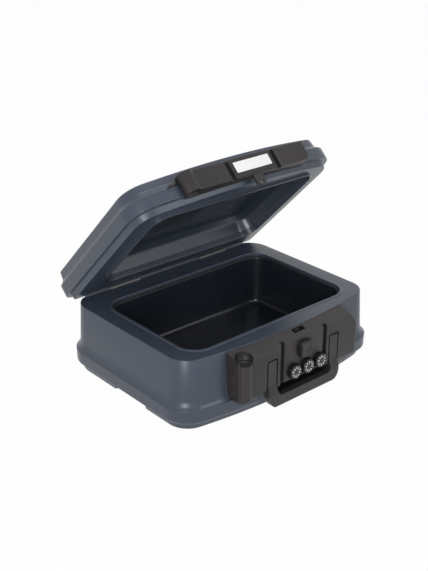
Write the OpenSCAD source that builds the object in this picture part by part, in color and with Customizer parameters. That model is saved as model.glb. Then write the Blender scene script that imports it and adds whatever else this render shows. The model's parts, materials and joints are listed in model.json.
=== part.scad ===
// Portable fire-resistant safe deposit box, drawn with its lid standing open.
// Units are millimetres. +Z is up, the front faces -Y, and the origin lies on
// the underside, in the middle of the straight part of the base.

/* [Base body] */
// Width of the base at its rim
rim_w = 392; // [372:1:412]
// Straight depth of the base at its rim, without the bow of the front
rim_d = 279.4; // [265:0.1:295]
// How far the front bows out in the middle
front_bow = 19.8; // [14:0.1:26]
// Radius of the two front corners
front_corner_r = 35; // [32:1:42]
// Radius of the two rear corners
rear_corner_r = 40; // [36:1:48]
// Height of the outer edge of the base's rim
rim_h = 113.8; // [108:0.1:120]
// Wall thickness of the moulded outer shells
shell_t = 3; // [2.4:0.1:3.6]
// How far the walls lean out between the rim and the foot
wall_draft = 3; // [1:0.1:4]
// How far the foot flange stands out from the rim outline
flange_out = 11; // [7:0.1:13]
// Height of the top edge of the foot flange
flange_z = 36.7; // [34:0.1:40]
// Height of the flange's upright face
flange_h = 20; // [14:0.1:24]
// Height of the cut-out between the feet on each side
foot_gap_h = 6.5; // [4:0.1:8]

/* [Rim and cavity] */
// Width of the sloping band round the rim
band_w = 16; // [10:0.5:20]
// Rise of that band
band_rise = 0.4; // [0.2:0.1:1]
// Height of the bead round the cavity above the rim's flat land
bead_h = 1; // [0.6:0.1:1.2]
// Width of the bead round the cavity
bead_w = 5.5; // [4:0.1:8]
// Width of the cavity's mouth
cavity_w = 330; // [314:1:334]
// Distance of the cavity's mouth behind the straight front of the rim
cavity_front_in = 12.7; // [12:0.1:23]
// Distance of the cavity's mouth before the rear of the rim
cavity_rear_in = 48.7; // [46:0.1:57]
// Corner radius of the cavity's mouth
cavity_r = 31; // [29:1:36]
// Depth of the ledge that carries the seal, below the rim's edge
ledge_drop = 5.1; // [4.6:0.1:6.4]
// Wall thickness of the two liners
liner_t = 3; // [2:0.1:3.6]
// Height of the cavity floor above the ground
floor_z = 24; // [18:0.5:32]
// How far the cavity narrows towards its floor, each side
liner_taper = 7; // [4:0.5:10]
// Height of the rubber seal above its ledge
seal_h = 2.2; // [1.6:0.1:2.4]

/* [Lid] */
// Angle at which the lid stands open
lid_open = 45.5; // [30:0.1:60]
// Gap between the base's bead and the lid's land when shut
seam_gap = 0.3; // [0.2:0.1:0.6]
// How far the lid's lower wall stands in from the rim, each side
lid_inset = 4; // [3:0.1:8]
// How far it stands in at the front
lid_inset_front = 9.3; // [6:0.1:10]
// How far it stands out behind the rim at the rear
lid_rear_out = 2.3; // [1.5:0.1:3]
// Corner radius of the lid's lower wall at the front
lid_corner_r = 33; // [26:1:36]
// Corner radius of the lid's lower wall at the rear
lid_rear_r = 12; // [8:1:20]
// Height of the lid's lower wall
lid_wall_h = 10; // [8:0.1:11]
// How far the lid's flange stands out from its lower wall
lid_flange_out = 10; // [8:0.1:12]
// Height of the lid's upright flange face
lid_flange_h = 20; // [18:0.1:24]
// Height of the sloping ledge above that face
lid_ledge_h = 8; // [6:0.1:10]
// How far that ledge runs in
lid_ledge_in = 7.2; // [6:0.1:8]
// Height of the lid's crown above the ledge
lid_crown_h = 14.5; // [12:0.1:16]
// Depth of the hollow in the lid above its land
lid_hollow_h = 34; // [28:0.5:36]

/* [Hinge] */
// Distance of the hinge axis from the rear face of the rim
hinge_inset = 6.1; // [5.5:0.1:6.5]
// Distance of each hinge's middle from the middle of the box
hinge_x = 95; // [80:1:105]
// Length of each hinge
hinge_len = 60; // [45:1:70]
// Outer radius of the hinge knuckles
knuckle_r = 5.2; // [4.6:0.1:5.4]
// Radius of the hinge pin
hinge_pin_r = 2.5; // [2:0.1:2.8]
// Thickness of the hinge leaves
leaf_t = 3; // [2.5:0.1:3.2]
// Slope of the two faces of the notch behind the hinge
notch_deg = 44; // [42:0.5:45]

/* [Front housing] */
// Left end of the front housing
housing_left = -122; // [-126:1:-118]
// Right end of the front housing
housing_right = 128.6; // [126:0.1:134]
// Width of the slanted upper corner at the housing's right end
slant_w = 10.3; // [6:0.1:12]
// Height of that slanted corner
slant_h = 13; // [8:0.5:14]
// How far the housing's face stands before the straight front of the rim
face_out = 41.3; // [40:0.1:46]
// Height of the housing's underside
housing_z = 36; // [35.5:0.1:37]
// Fall of the housing's top shelf for each millimetre forward
shelf_slope = 0.33; // [0.2:0.01:0.34]
// How far the housing's hidden flat back stands before that front
pocket_out = 6.3; // [5.5:0.1:8]
// Middle of the lock panel, to the right of the box's middle
lock_x = 11; // [9:0.5:13]
// Half the width of the lock panel
panel_half = 41.5; // [40.5:0.1:42.5]
// Width of the upright groove on each side of the lock panel
groove_w = 8; // [6:0.1:8.5]
// Depth of those grooves
groove_d = 6; // [4:0.1:6.4]
// Radius of the round boss at the housing's left end
boss_r = 12.5; // [11:0.1:14]
// Depth of the top of that boss below the rim
boss_drop = 15.8; // [10:0.1:18]

/* [Handle] */
// Overall width of the carry handle
handle_w = 150; // [148:0.1:156]
// Width of each arm of the handle
arm_w = 18; // [15:0.1:19]
// Thickness of the arms, front to back
arm_t = 11; // [8:0.1:12]
// Height of the top of the arms
arm_top = 84.6; // [84:0.1:88]
// Height of the handle's pivot
pivot_z = 78; // [77:0.1:79]
// Radius of the handle's pivot pins
pivot_r = 2.5; // [2:0.1:3]
// Height of the underside of the handle's bar
bar_z = 4.8; // [3.5:0.1:8]
// Height of the bar's section
bar_h = 21.5; // [18:0.1:23]
// How far the bar stands forward of the housing's face
bar_out = 6; // [3:0.1:8]
// Gap round the handle's arms
arm_gap = 2; // [1:0.1:2.2]

/* [Lock] */
// Middle of the dials, to the right of the lock panel's middle
dial_shift = 5.5; // [4:0.1:6]
// Spacing of the dials
dial_pitch = 27.4; // [25.5:0.1:28]
// Height of the dials' middles, as a share of the housing's height
dial_share = 0.221; // [0.21:0.001:0.23]
// Radius of each dial
dial_r = 11.5; // [9.5:0.1:12]
// How far the dials stand out of the lock panel
dial_out = 8; // [5:0.1:10]
// Width of the push button
button_w = 23; // [20:0.5:30]
// Height of the push button
button_h = 25; // [20:0.5:25]
// Height of the push button's middle, as a share of the housing's height
button_share = 0.63; // [0.61:0.001:0.64]
// How far the button stands out of the lock panel
button_out = 8; // [5:0.1:10]
// How far the button can be pressed
button_travel = 2.6; // [2:0.1:2.7]
// Width of the slot that the lid's catch drops into
catch_slot_w = 24; // [22:0.5:26]
// Width of the lid's catch
catch_w = 18; // [16:0.5:19]

/* [Lid front strip] */
// Tip of the wing at the strip's left end
strip_left = -140; // [-146:1:-136]
// Right end of the strip on the lid's front
strip_right = 124; // [120:1:132]
// How far the strip's flat face stands before the straight front of the rim
strip_out = 28.3; // [27:0.1:30]
// Wall thickness of the strip
strip_t = 3; // [2.4:0.1:3.6]
// Height of the strip
strip_h = 32.5; // [30:0.1:34]
// Radius of the round boss at the strip's left end
lid_boss_r = 14; // [12:0.1:15]
// Height of the blank name plate
plate_h = 17.5; // [14:0.5:20]
// Width of the blank name plate
plate_w = 70; // [60:1:74]

/* [Hidden] */

// Colours
slate = [0.33, 0.37, 0.43];
warm_black = [0.16, 0.15, 0.15];
near_black = [0.07, 0.07, 0.08];
plaster = [0.80, 0.78, 0.73];
steel = [0.72, 0.73, 0.75];
plate_white = [0.94, 0.94, 0.93];

// Facets of the moulded outlines, and of turned parts
corner_steps = 9;
bow_steps = 18;
$fn = 48;

// General clearances
fit = 0.3;          // between pieces that only lie next to each other
run = 0.06;         // round a shaft that turns or slides
reach = 400;        // long enough to cut right through the box
eps = 0.01;

// Heights in the rim, from the ground up
land_z = rim_h + band_rise;
bead_z = land_z + bead_h;
lid_land_z = bead_z + seam_gap;
ledge_z = rim_h - ledge_drop;
skirt_z = ledge_z + fit;
lid_edge_z = lid_land_z + 0.4;
lid_step_z = lid_land_z + lid_wall_h;
lid_face_top = lid_step_z + lid_flange_h;
lid_crown_z = lid_face_top + lid_ledge_h;
lid_top = lid_crown_z + lid_crown_h;

// Mouth of the cavity, and the housing's planes, from the box's middle
cavity_front = rim_d / 2 - cavity_front_in;
cavity_rear = rim_d / 2 - cavity_rear_in;
face_y = rim_d / 2 + face_out;
pocket_y = rim_d / 2 + pocket_out;

// The hinge axis
hinge_y = rim_d / 2 - hinge_inset;
hinge_z = rim_h;
relief_r = knuckle_r + 0.8;
knuckle_w = (hinge_len - 2 * fit) / 4;
leaf_y = hinge_y + knuckle_r - 1.6;       // inner face of the base's leaves
leaf_low = hinge_z - 42;
leaf_high = hinge_z - 10;
lid_leaf_z = lid_step_z - fit - leaf_t;   // underside of the lid's leaves
lid_leaf_in = rim_d / 2 + lid_rear_out + 3;
lid_leaf_out = rim_d / 2 + lid_rear_out + lid_flange_out + fit + leaf_t;
lid_leaf_h = 21;
lid_screw_z = lid_leaf_z + 13.8;
hinge_bead_r = 1.5;                       // bead that closes the gap behind the lid
hinge_bead_x = rim_w / 2 - 24;

// The front housing and what it holds
back_y = pocket_y + fit;                  // housing's flat back
face_t = 3;                               // its front wall
channel_floor = face_y - arm_t - 5;       // floor of the handle's channels
floor_front = face_y - groove_d;          // wall behind the lock panel
floor_back = floor_front - 3;
lock_back = pocket_y + 6;                 // front of the lock's back plate
boss_x = housing_left + 14;
boss_y = face_y - 5;
boss_top = rim_h - boss_drop;
arm_outer = handle_w / 2;
arm_inner = arm_outer - arm_w;
pivot_y = face_y - arm_t / 2;
channel_top = pivot_z + norm([arm_t / 2, arm_top - pivot_z]) + 0.6;
pin_len = arm_w + 2 * arm_gap + 8;
apron_y = face_y - 18;
apron_low = 2;
pocket_top = rim_h - 8;
dial_x = lock_x + dial_shift;
dial_z = housing_z + dial_share * (rim_h - housing_z);
button_z = housing_z + button_share * (rim_h - housing_z);
dial_back = face_y - 1.7;                 // rear face of the dials
cam_front = floor_back - 0.5;
cam_t = 3;
cam_r = dial_r - 1;
shaft_r = 3;
stem_r = 4;
bolt_front = floor_back - 7.2;
bolt_t = 2;
nose_tip = bolt_front + 0.8;
bolt_half = 8;
bolt_low = dial_z + cam_r + 2.3;
nose_half = 4.5;
catch_plate_y = nose_tip + fit;           // rear face of the catch's steel plate
catch_plate_t = 1.6;
catch_low = rim_h - 9.8;
catch_front = catch_plate_y + catch_plate_t;
catch_rear = catch_plate_y - 2.4;
guide_r = 2;
post_r = 4;
screw_r = 1.5;
lock_left = dial_x - dial_pitch - cam_r - 6;
lock_right = dial_x + dial_pitch + cam_r + 3.2;
lock_low = housing_z + 3;
lock_high = pocket_top - 2.8;
posts = [[lock_left + 3.5, lock_low + 3.4], [lock_right - 3.5, lock_low + 3.4],
    [lock_left + 3.5, lock_high - 4], [lock_right - 3.5, lock_high - 4]];
guides = [[lock_x - 5.5, button_z - 6], [lock_x + 5, lock_high - 6]];
left_bay = [lock_x - arm_outer - arm_gap - 24, lock_x - arm_outer - arm_gap - 3];
right_bay = [lock_x + arm_outer + arm_gap + 3, housing_right - 3];
housing_screw_at = [for (x = [left_bay[0] + 10, right_bay[1] - 17],
    z = [housing_z + 14, pocket_top - 13.8]) [x, z]];

// The lid's front strip
strip_y = rim_d / 2 + strip_out;          // its flat face
strip_low = lid_step_z - 3;
strip_top = strip_low + strip_h;
lid_boss_x = boss_x - 1;
lid_boss_y = strip_y - 8;
panel_z0 = strip_low + 0.8;
panel_t = 3;
strip_screw_x = [-70, 90];
strip_screw_z = lid_step_z + lid_flange_h / 2;
strip_bays = [[lid_boss_x + lid_boss_r + 3, lock_x - panel_half - groove_w - 3],
    [lock_x + panel_half + groove_w + 3, strip_right - 9]];

// ---------- outlines and lofts ----------

// Points of an arc about (cx, cy), from angle a0 to a1
function arc(cx, cy, r, a0, a1, n) =
    [for (i = [0 : n]) let (a = a0 + (a1 - a0) * i / n) [cx + r * cos(a), cy + r * sin(a)]];

// Rounded rectangle whose front edge bows out: half width, front and rear of
// its straight sides, bow, and front and rear corner radii
function bowed(hw, front, rear, bow, rf, rr) =
    let (big = (hw * hw + bow * bow) / (2 * bow), cy = -front - bow + big, xc = hw - rf,
         yc = cy - sqrt(pow(big - rf, 2) - xc * xc),
         a1 = 360 + atan2(yc - cy, -xc))
    concat(arc(-xc, yc, rf, 180, a1, corner_steps),
        [for (i = [1 : bow_steps - 1]) let (a = a1 + (540 - 2 * a1) * i / bow_steps)
            [big * cos(a), cy + big * sin(a)]],
        arc(xc, yc, rf, 540 - a1, 360, corner_steps),
        arc(hw - rr, rear - rr, rr, 0, 90, corner_steps),
        arc(rr - hw, rear - rr, rr, 90, 180, corner_steps));

// Outline of the base's rim, of the lid's lower wall and of the cavity's
// mouth, each grown by off
function base_ring(off) = bowed(rim_w / 2 + off, rim_d / 2 + off, rim_d / 2 + off,
    front_bow, front_corner_r + off, rear_corner_r + off);
function lid_ring(off) = bowed(rim_w / 2 - lid_inset + off, rim_d / 2 - lid_inset_front + off,
    rim_d / 2 + lid_rear_out + off, front_bow, lid_corner_r + off, max(lid_rear_r + off, 1));
function mouth_ring(off) = concat(
    arc(off_x(off) * -1, -cavity_front + cavity_r, cavity_r + off, 180, 270, corner_steps),
    arc(off_x(off), -cavity_front + cavity_r, cavity_r + off, 270, 360, corner_steps),
    arc(off_x(off), cavity_rear - cavity_r, cavity_r + off, 0, 90, corner_steps),
    arc(off_x(off) * -1, cavity_rear - cavity_r, cavity_r + off, 90, 180, corner_steps));
function off_x(off) = cavity_w / 2 - cavity_r;

// Ring number kind at offset off: 0 base, 1 lid, 2 cavity mouth
function ring(kind, off) =
    kind == 0 ? base_ring(off) : kind == 1 ? lid_ring(off) : mouth_ring(off);

// Closed solid through levels [height, offset], bottom first
module loft(kind, levels) {
    rings = [for (l = levels) [for (p = ring(kind, l[1])) [p[0], p[1], l[0]]]];
    n = len(rings[0]);
    m = len(rings);
    polyhedron(
        points = [for (r = rings) each r],
        faces = concat(
            [[for (i = [0 : n - 1]) i]],
            [[for (i = [n - 1 : -1 : 0]) (m - 1) * n + i]],
            [for (k = [0 : m - 2], i = [0 : n - 1]) let (j = (i + 1) % n)
                [k * n + i, (k + 1) * n + i, (k + 1) * n + j]],
            [for (k = [0 : m - 2], i = [0 : n - 1]) let (j = (i + 1) % n)
                [k * n + i, (k + 1) * n + j, k * n + j]]),
        convexity = 8);
}

// Straight prism on a ring
module prism(kind, off, z0, z1) {
    translate([0, 0, z0]) linear_extrude(z1 - z0) polygon(ring(kind, off));
}

// Box between two corners
module block(a, b) {
    translate(a) cube(b - a);
}

// Children drawn as (x, z), from distance front to distance back before the middle
module front_prism(front, back) {
    translate([0, -back, 0]) rotate([90, 0, 0]) linear_extrude(front - back) children();
}

// Children drawn as (y, z), from x0 to x1
module side_prism(x0, x1) {
    translate([x0, 0, 0]) rotate([90, 0, 90]) linear_extrude(x1 - x0) children();
}

// Round bar along X, and along Y from distance front back to distance back
module bar_x(y, z, r, x0, x1) {
    translate([x0, y, z]) rotate([0, 90, 0]) cylinder(r = r, h = x1 - x0);
}
module bar_y(x, z, r, front, back) {
    translate([x, -back, z]) rotate([90, 0, 0]) cylinder(r = r, h = front - back);
}

// Flat rectangle with round corners, centred
module round_rect(w, h, r) {
    square([w - 2 * r, h], center = true);
    square([w, h - 2 * r], center = true);
    for (x = [-1, 1], y = [-1, 1])
        translate([x * (w / 2 - r), y * (h / 2 - r)]) circle(r);
}

// Turns what is drawn with the lid shut to where the lid stands open
module opened() {
    translate([0, hinge_y, hinge_z]) rotate([-lid_open, 0, 0])
        translate([0, -hinge_y, -hinge_z]) children();
}

// ---------- base ----------

base_skin = [[0, -1.5], [1.5, 1.2], [flange_z - flange_h - 8, 2.5],
    [flange_z - flange_h, flange_out - 0.8], [flange_z - flange_h + 2, flange_out],
    [flange_z - 1.6, flange_out], [flange_z, flange_out - 1], [flange_z + 4, 6.2],
    [flange_z + 9, wall_draft + 1], [flange_z + 18, wall_draft], [rim_h - 1, 0.2],
    [rim_h, -0.8], [land_z, -band_w]];

base_room = [[shell_t, -shell_t - 1.5], [flange_z - flange_h - 6, -shell_t + 2],
    [flange_z - flange_h, flange_out - shell_t - 1], [flange_z - shell_t, flange_out - shell_t],
    [flange_z + 3, 2.6], [flange_z + 9, wall_draft - shell_t],
    [land_z - shell_t - 0.4, -shell_t]];

// Wedge cut away behind the hinge axis: up is 1 for the base, -1 for the lid
module notch(up, grow) {
    run_y = up > 0 ? 60 : lid_leaf_in - hinge_y;
    rise = run_y * tan(notch_deg);
    shift = grow / cos(notch_deg);
    translate([0, hinge_y - grow * (up > 0 ? 1 : 0), 0]) side_prism(-reach, reach)
        polygon([[0, hinge_z - up * shift], [run_y, hinge_z - up * (rise + shift)],
            [run_y, hinge_z + up * 80], [0, hinge_z + up * 80]]);
}

// Room round the knuckles of both hinges
module hinge_relief(grow) {
    for (s = [-1, 1])
        bar_x(hinge_y, hinge_z, relief_r + grow, s * hinge_x - hinge_len / 2 - fit - grow,
            s * hinge_x + hinge_len / 2 + fit + grow);
}

// Front view of the housing, its upper right corner slanted
module housing_face(x0, x1, z0, z1) {
    corner = pocket_top - 2;
    polygon([[x0, z0], [x1, z0], [x1, corner - slant_h], [x1 - slant_w, corner],
        [x1 - slant_w, z1], [x0, z1]]);
}

// Everything that is cut into the base from outside, its walls grown by grow
module base_cuts(grow) {
    // pocket for the front housing
    front_prism(reach, pocket_y - grow) offset(delta = grow)
        housing_face(housing_left - fit, housing_right + fit, housing_z - fit, pocket_top);
    // finger recess behind the handle's bar
    block([lock_x - arm_outer - arm_gap - fit - grow, -reach, -10],
        [lock_x + arm_outer + arm_gap + fit + grow, -apron_y + 3 + fit + grow, housing_z]);
    // gap between the feet on each side
    for (s = [-1, 1])
        side_prism(s > 0 ? rim_w / 2 - 12 - grow : -reach, s > 0 ? reach : 12 + grow - rim_w / 2)
            polygon([[-56.5 - grow, -5], [-53 - grow, foot_gap_h + grow],
                [15 + grow, foot_gap_h + grow], [36 + grow, -5]]);
    notch(1, grow);
    hinge_relief(grow);
    for (s = [-1, 1], deep = [[leaf_low - fit, 0], [hinge_z - 8, 1.6]])
        block([s * hinge_x - hinge_len / 2 - fit - grow, leaf_y - fit - deep[1] - grow, deep[0] - grow],
            [s * hinge_x + hinge_len / 2 + fit + grow, reach, hinge_z + 20]);
}

module base_outer_shell() color(slate) {
    // bead on the rear edge, under the lid's land
    difference() {
        bar_x(hinge_y, hinge_z, hinge_bead_r, -hinge_bead_x, hinge_bead_x);
        hinge_relief(0);
    }
    base_shell();
}

module base_shell() difference() {
    union() {
        loft(0, base_skin);
        prism(2, bead_w, land_z - 1, bead_z);
    }
    difference() {
        loft(0, base_room);
        base_cuts(shell_t);
        prism(2, 3, skirt_z, rim_h);
    }
    base_cuts(0);
    prism(2, 0, ledge_z - 30, bead_z + 1);
    for (p = housing_screw_at) bar_y(p[0], p[1], 2.2, pocket_y + 1, pocket_y - shell_t - 1);
    for (s = [-1, 1], x = [-18, 18], z = [-34, -18])
        translate([s * hinge_x + x, leaf_y - 9, hinge_z + z]) rotate([-90, 0, 0])
            cylinder(r = 1.6, h = 12);
}

// Outer form of the inner liner, grown by off
module liner_body(off) {
    loft(2, [[floor_z - liner_t - off, -liner_taper - fit + off - 6],
        [floor_z + 6, -liner_taper - fit + off], [ledge_z, off - fit]]);
    prism(2, 8 + off, ledge_z - 2.6 - off, ledge_z + (off > 0 ? fit : 0));
}

module base_insulation() color(plaster) difference() {
    loft(0, [for (l = base_room) [l[0] + (l[0] <= flange_z - flange_h ? fit : -fit), l[1] - fit]]);
    base_cuts(shell_t + fit);
    liner_body(fit);
    prism(2, 3 + fit, ledge_z - fit, rim_h + 5);
    for (p = housing_screw_at)
        bar_y(p[0], p[1], 4.6, pocket_y, pocket_y - shell_t - 3);
    for (s = [-1, 1], x = [-18, 18], z = [-34, -18])
        translate([s * hinge_x + x, leaf_y - 15, hinge_z + z]) rotate([-90, 0, 0])
            cylinder(r = 3, h = 15);
}

module base_inner_liner() color(near_black) difference() {
    liner_body(0);
    loft(2, [[floor_z, -liner_taper - liner_t - 6], [floor_z + 6, -liner_taper - liner_t],
        [ledge_z + eps, -liner_t - fit]]);
}

module rim_seal() color(near_black) difference() {
    prism(2, -0.5, ledge_z, ledge_z + seal_h);
    prism(2, -liner_t, ledge_z - 1, ledge_z + seal_h + 1);
}

// ---------- lid, drawn shut ----------

lid_skin = [[lid_land_z, -14], [lid_edge_z, -0.8], [lid_edge_z + 0.9, 0], [lid_step_z, 2.6],
    [lid_step_z, lid_flange_out - 0.8], [lid_step_z + 1.2, lid_flange_out],
    [lid_face_top - 1.2, lid_flange_out], [lid_face_top, lid_flange_out - 0.8],
    [lid_crown_z - 1.5, lid_flange_out - lid_ledge_in + 0.6],
    [lid_crown_z, lid_flange_out - lid_ledge_in], [lid_top - 2.5, lid_flange_out - lid_ledge_in - 1.6],
    [lid_top - 0.7, lid_flange_out - lid_ledge_in - 2.6], [lid_top, lid_flange_out - lid_ledge_in - 4.8]];

lid_room = [[lid_land_z + shell_t, -shell_t - 0.2], [lid_step_z + shell_t, -shell_t + 2.4],
    [lid_step_z + shell_t, lid_flange_out - shell_t - 0.4],
    [lid_face_top - 2, lid_flange_out - shell_t - 0.4],
    [lid_crown_z - shell_t, lid_flange_out - lid_ledge_in - shell_t + 0.2],
    [lid_top - shell_t, lid_flange_out - lid_ledge_in - shell_t - 2.4]];

// The lid's whole form with fit all round it, to cut what lies on the lid
module lid_form() {
    loft(1, [for (i = [0 : len(lid_skin) - 1])
        [lid_skin[i][0] + (i < 6 ? -fit : fit), lid_skin[i][1] + fit]]);
}

// Everything that is cut into the lid from outside, its walls grown by grow
module lid_cuts(grow) {
    notch(-1, grow);
    hinge_relief(grow);
}

// Holes for the screws of the lid's hinges, from distance front to distance back behind the middle
module lid_screw_holes(r, front, back) {
    for (s = [-1, 1], x = [-18, 18]) bar_y(s * hinge_x + x, lid_screw_z, r, -front, -back);
}

module lid_outer_shell() opened() color(slate) difference() {
    loft(1, lid_skin);
    difference() {
        loft(1, lid_room);
        lid_cuts(shell_t);
    }
    lid_cuts(0);
    prism(2, -0.9, lid_land_z - 5, lid_land_z + shell_t + 5);
    lid_screw_holes(1.6, lid_leaf_out - 14, lid_leaf_out);
    for (x = strip_screw_x) bar_y(x, strip_screw_z, 2, reach, 0);
}

// Outer form of the lid's liner, grown by off
module lid_liner_body(off) {
    top = lid_land_z + lid_hollow_h + liner_t;
    loft(2, [[lid_land_z - 4.2, -1.2 + off], [lid_land_z + 6, -1.4 + off],
        [top - 14, -6 + off], [top - 5, -12 + off], [top + off, -22 + off]]);
    prism(2, 6 + off, lid_land_z + shell_t + fit - off, lid_land_z + shell_t + 2.6 + off);
}

module lid_insulation() opened() color(plaster) difference() {
    loft(1, [for (i = [0 : len(lid_room) - 1])
        [lid_room[i][0] + (i < 3 ? fit : -fit), lid_room[i][1] - fit]]);
    lid_cuts(shell_t + fit);
    lid_liner_body(fit);
    lid_screw_holes(3, lid_leaf_out - 17, lid_leaf_out);
    for (x = strip_screw_x) bar_y(x, strip_screw_z, 4.6, reach, 0);
}

module lid_inner_liner() opened() color(near_black) difference() {
    lid_liner_body(0);
    top = lid_land_z + lid_hollow_h;
    loft(2, [[lid_land_z - 4.2 - eps, -1.2 - 2.2], [lid_land_z + 6, -1.4 - liner_t],
        [top - 12, -6 - liner_t], [top - 4, -11.5 - liner_t], [top, -20 - liner_t]]);
}

// Blank plate stuck to the ceiling of the lid's hollow
module lid_inside_plate() opened() color(warm_black)
    translate([-0.16 * cavity_w, -12, lid_land_z + lid_hollow_h - 0.8]) linear_extrude(0.8)
        round_rect(0.38 * cavity_w, 0.385 * (cavity_front + cavity_rear), 4);

// ---------- front housing ----------

// Space under the sloping shelf
module under_shelf() {
    wide = 60;
    loft(0, [[-5, wide], [rim_h - shelf_slope * wide, wide], [rim_h, 0]]);
}

// Channel that one arm of the handle lies in, s is -1 left and 1 right
module arm_channel(s) {
    x0 = lock_x + s * (arm_inner + arm_w / 2) - arm_w / 2 - arm_gap;
    block([x0, -reach, -1], [x0 + arm_w + 2 * arm_gap, -channel_floor, channel_top]);
}

module front_housing() color(warm_black) difference() {
    intersection() {
        union() {
            front_prism(face_y, back_y) housing_face(housing_left, housing_right, housing_z, rim_h);
            translate([boss_x, -boss_y, housing_z]) cylinder(r = boss_r, h = rim_h);
            // apron that lines the finger recess
            block([lock_x - arm_outer - arm_gap, -apron_y, apron_low],
                [lock_x + arm_outer + arm_gap, -apron_y + 3, housing_z + eps]);
        }
        under_shelf();
    }
    // room for the wall and rim of the base above the pocket
    prism(0, 1, pocket_top - fit, rim_h + 5);
    // the boss stands lower than the shelf, with a dished top
    translate([boss_x, -boss_y, boss_top]) cylinder(r = boss_r + 3.5, h = 30);
    translate([boss_x, -boss_y, boss_top + 9]) sphere(r = boss_r);
    // recess for the lock panel and its two grooves
    block([lock_x - panel_half - groove_w, -reach, housing_z - 1],
        [lock_x + panel_half + groove_w, -floor_front, rim_h + 5]);
    for (s = [-1, 1]) arm_channel(s);
    for (s = [-1, 1]) {
        mid = lock_x + s * (arm_inner + arm_w / 2);
        bar_x(-pivot_y, pivot_z, pivot_r + 0.01, mid - pin_len / 2, mid + pin_len / 2);
    }
    // bays open to the rear
    for (b = [left_bay, right_bay]) difference() {
        front_prism(face_y - face_t, 0) intersection() {
            offset(delta = -face_t)
                housing_face(housing_left, housing_right, housing_z, pocket_top);
            translate([b[0], 0]) square([b[1] - b[0], rim_h]);
        }
        translate([boss_x, -boss_y, 0]) cylinder(r = boss_r + 6.5, h = rim_h);
        for (p = housing_screw_at) bar_y(p[0], p[1], 4.5, face_y, back_y);
    }
    for (p = housing_screw_at) bar_y(p[0], p[1], 1.76, back_y + 15, back_y - 1);
    difference() {
        block([lock_left, -floor_back, lock_low], [lock_right, 0, lock_high]);
        for (p = posts) bar_y(p[0], p[1], post_r, floor_back, lock_back);
    }
    for (p = posts) bar_y(p[0], p[1], screw_r + 0.04, lock_back + 12, lock_back - 1);
    // slot and shaft for the lid's catch and the nose of the bolt
    block([lock_x - catch_slot_w / 2, -catch_front - 3.5, lock_high - 5],
        [lock_x + catch_slot_w / 2, -catch_rear + 0.6, rim_h + 5]);
    block([lock_x - nose_half - 0.6, -nose_tip, lock_high - 5],
        [lock_x + nose_half + 0.6, -bolt_front + bolt_t + button_travel + 0.4, rim_h - 3]);
    for (i = [-1 : 1]) bar_y(dial_x + i * dial_pitch, dial_z, shaft_r + run, reach, floor_back - 1);
    bar_y(lock_x, button_z, stem_r + run, reach, floor_back - 1);
}

module housing_screws() color(steel) for (p = housing_screw_at) {
    bar_y(p[0], p[1], 1.75, back_y + 14, pocket_y - shell_t);
    bar_y(p[0], p[1], 4, pocket_y - shell_t, pocket_y - shell_t - 2.4);
}

module lock_panel() color(warm_black) difference() {
    intersection() {
        block([lock_x - panel_half, -face_y, housing_z], [lock_x + panel_half, -floor_front, rim_h]);
        under_shelf();
    }
    for (i = [-1 : 1]) {
        bar_y(dial_x + i * dial_pitch, dial_z, dial_r + 1, reach, dial_back - 0.3);
        bar_y(dial_x + i * dial_pitch, dial_z, shaft_r + run, reach, 0);
    }
    front_prism(reach, 0) translate([lock_x, button_z])
        round_rect(button_w + 2 * fit, button_h + 2 * fit, 5 + fit);
}

module lock_back_plate() color(steel) difference() {
    block([lock_left + 0.4, -lock_back, lock_low + 0.4],
        [lock_right - 0.4, -lock_back + 2, lock_high - 0.4]);
    for (p = posts) bar_y(p[0], p[1], screw_r + 0.2, reach, 0);
    for (g = guides) bar_y(g[0], g[1], guide_r + 0.01, reach, 0);
}

module lock_screws() color(steel) for (p = posts) {
    bar_y(p[0], p[1], screw_r, lock_back + 11, lock_back - 2);
    bar_y(p[0], p[1], 2.9, lock_back - 2, lock_back - 4);
}

// ---------- handle ----------

module carry_handle() color(warm_black) difference() {
    intersection() {
        front_prism(reach, 0) translate([lock_x, 0]) difference() {
            translate([0, (bar_z + arm_top + 60) / 2]) round_rect(handle_w, arm_top + 60 - bar_z, 17);
            translate([0, arm_top / 2 + bar_z + bar_h + 30])
                round_rect(2 * arm_inner, arm_top + 60, 9);
            translate([-reach / 2, arm_top]) square([reach, reach]);
        }
        side_prism(lock_x - reach, lock_x + reach) polygon([
            [-face_y, arm_top], [-face_y, bar_z + bar_h + 16], [-face_y - bar_out, bar_z + bar_h + 3],
            [-face_y - bar_out, bar_z + 3], [-face_y - bar_out + 3, bar_z],
            [-face_y - bar_out + arm_t - 3, bar_z], [-face_y - bar_out + arm_t, bar_z + 3],
            [-face_y - bar_out + arm_t, bar_z + bar_h], [-face_y + arm_t, bar_z + bar_h + 13],
            [-face_y + arm_t, arm_top]]);
    }
    bar_x(-pivot_y, pivot_z, pivot_r + run, lock_x - reach / 2, lock_x + reach / 2);
}

module handle_pins() color(steel) for (s = [-1, 1]) {
    mid = lock_x + s * (arm_inner + arm_w / 2);
    bar_x(-pivot_y, pivot_z, pivot_r, mid - pin_len / 2 + 0.2, mid + pin_len / 2 - 0.2);
}

// ---------- lock ----------

module push_button() color(warm_black) {
    front_prism(face_y + button_out - 1, floor_front + button_travel + 1.2)
        translate([lock_x, button_z]) round_rect(button_w, button_h, 5);
    front_prism(face_y + button_out, face_y + button_out - 1)
        translate([lock_x, button_z]) round_rect(button_w - 1.6, button_h - 1.6, 4.2);
    bar_y(lock_x, button_z, stem_r, floor_front + button_travel + 1.3, bolt_front + fit);
}

module button_spring() color(steel) difference() {
    bar_y(lock_x, button_z, stem_r + 2.4, floor_front + button_travel + 1.1, floor_front + 0.1);
    bar_y(lock_x, button_z, stem_r + 0.8, reach, 0);
}

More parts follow.
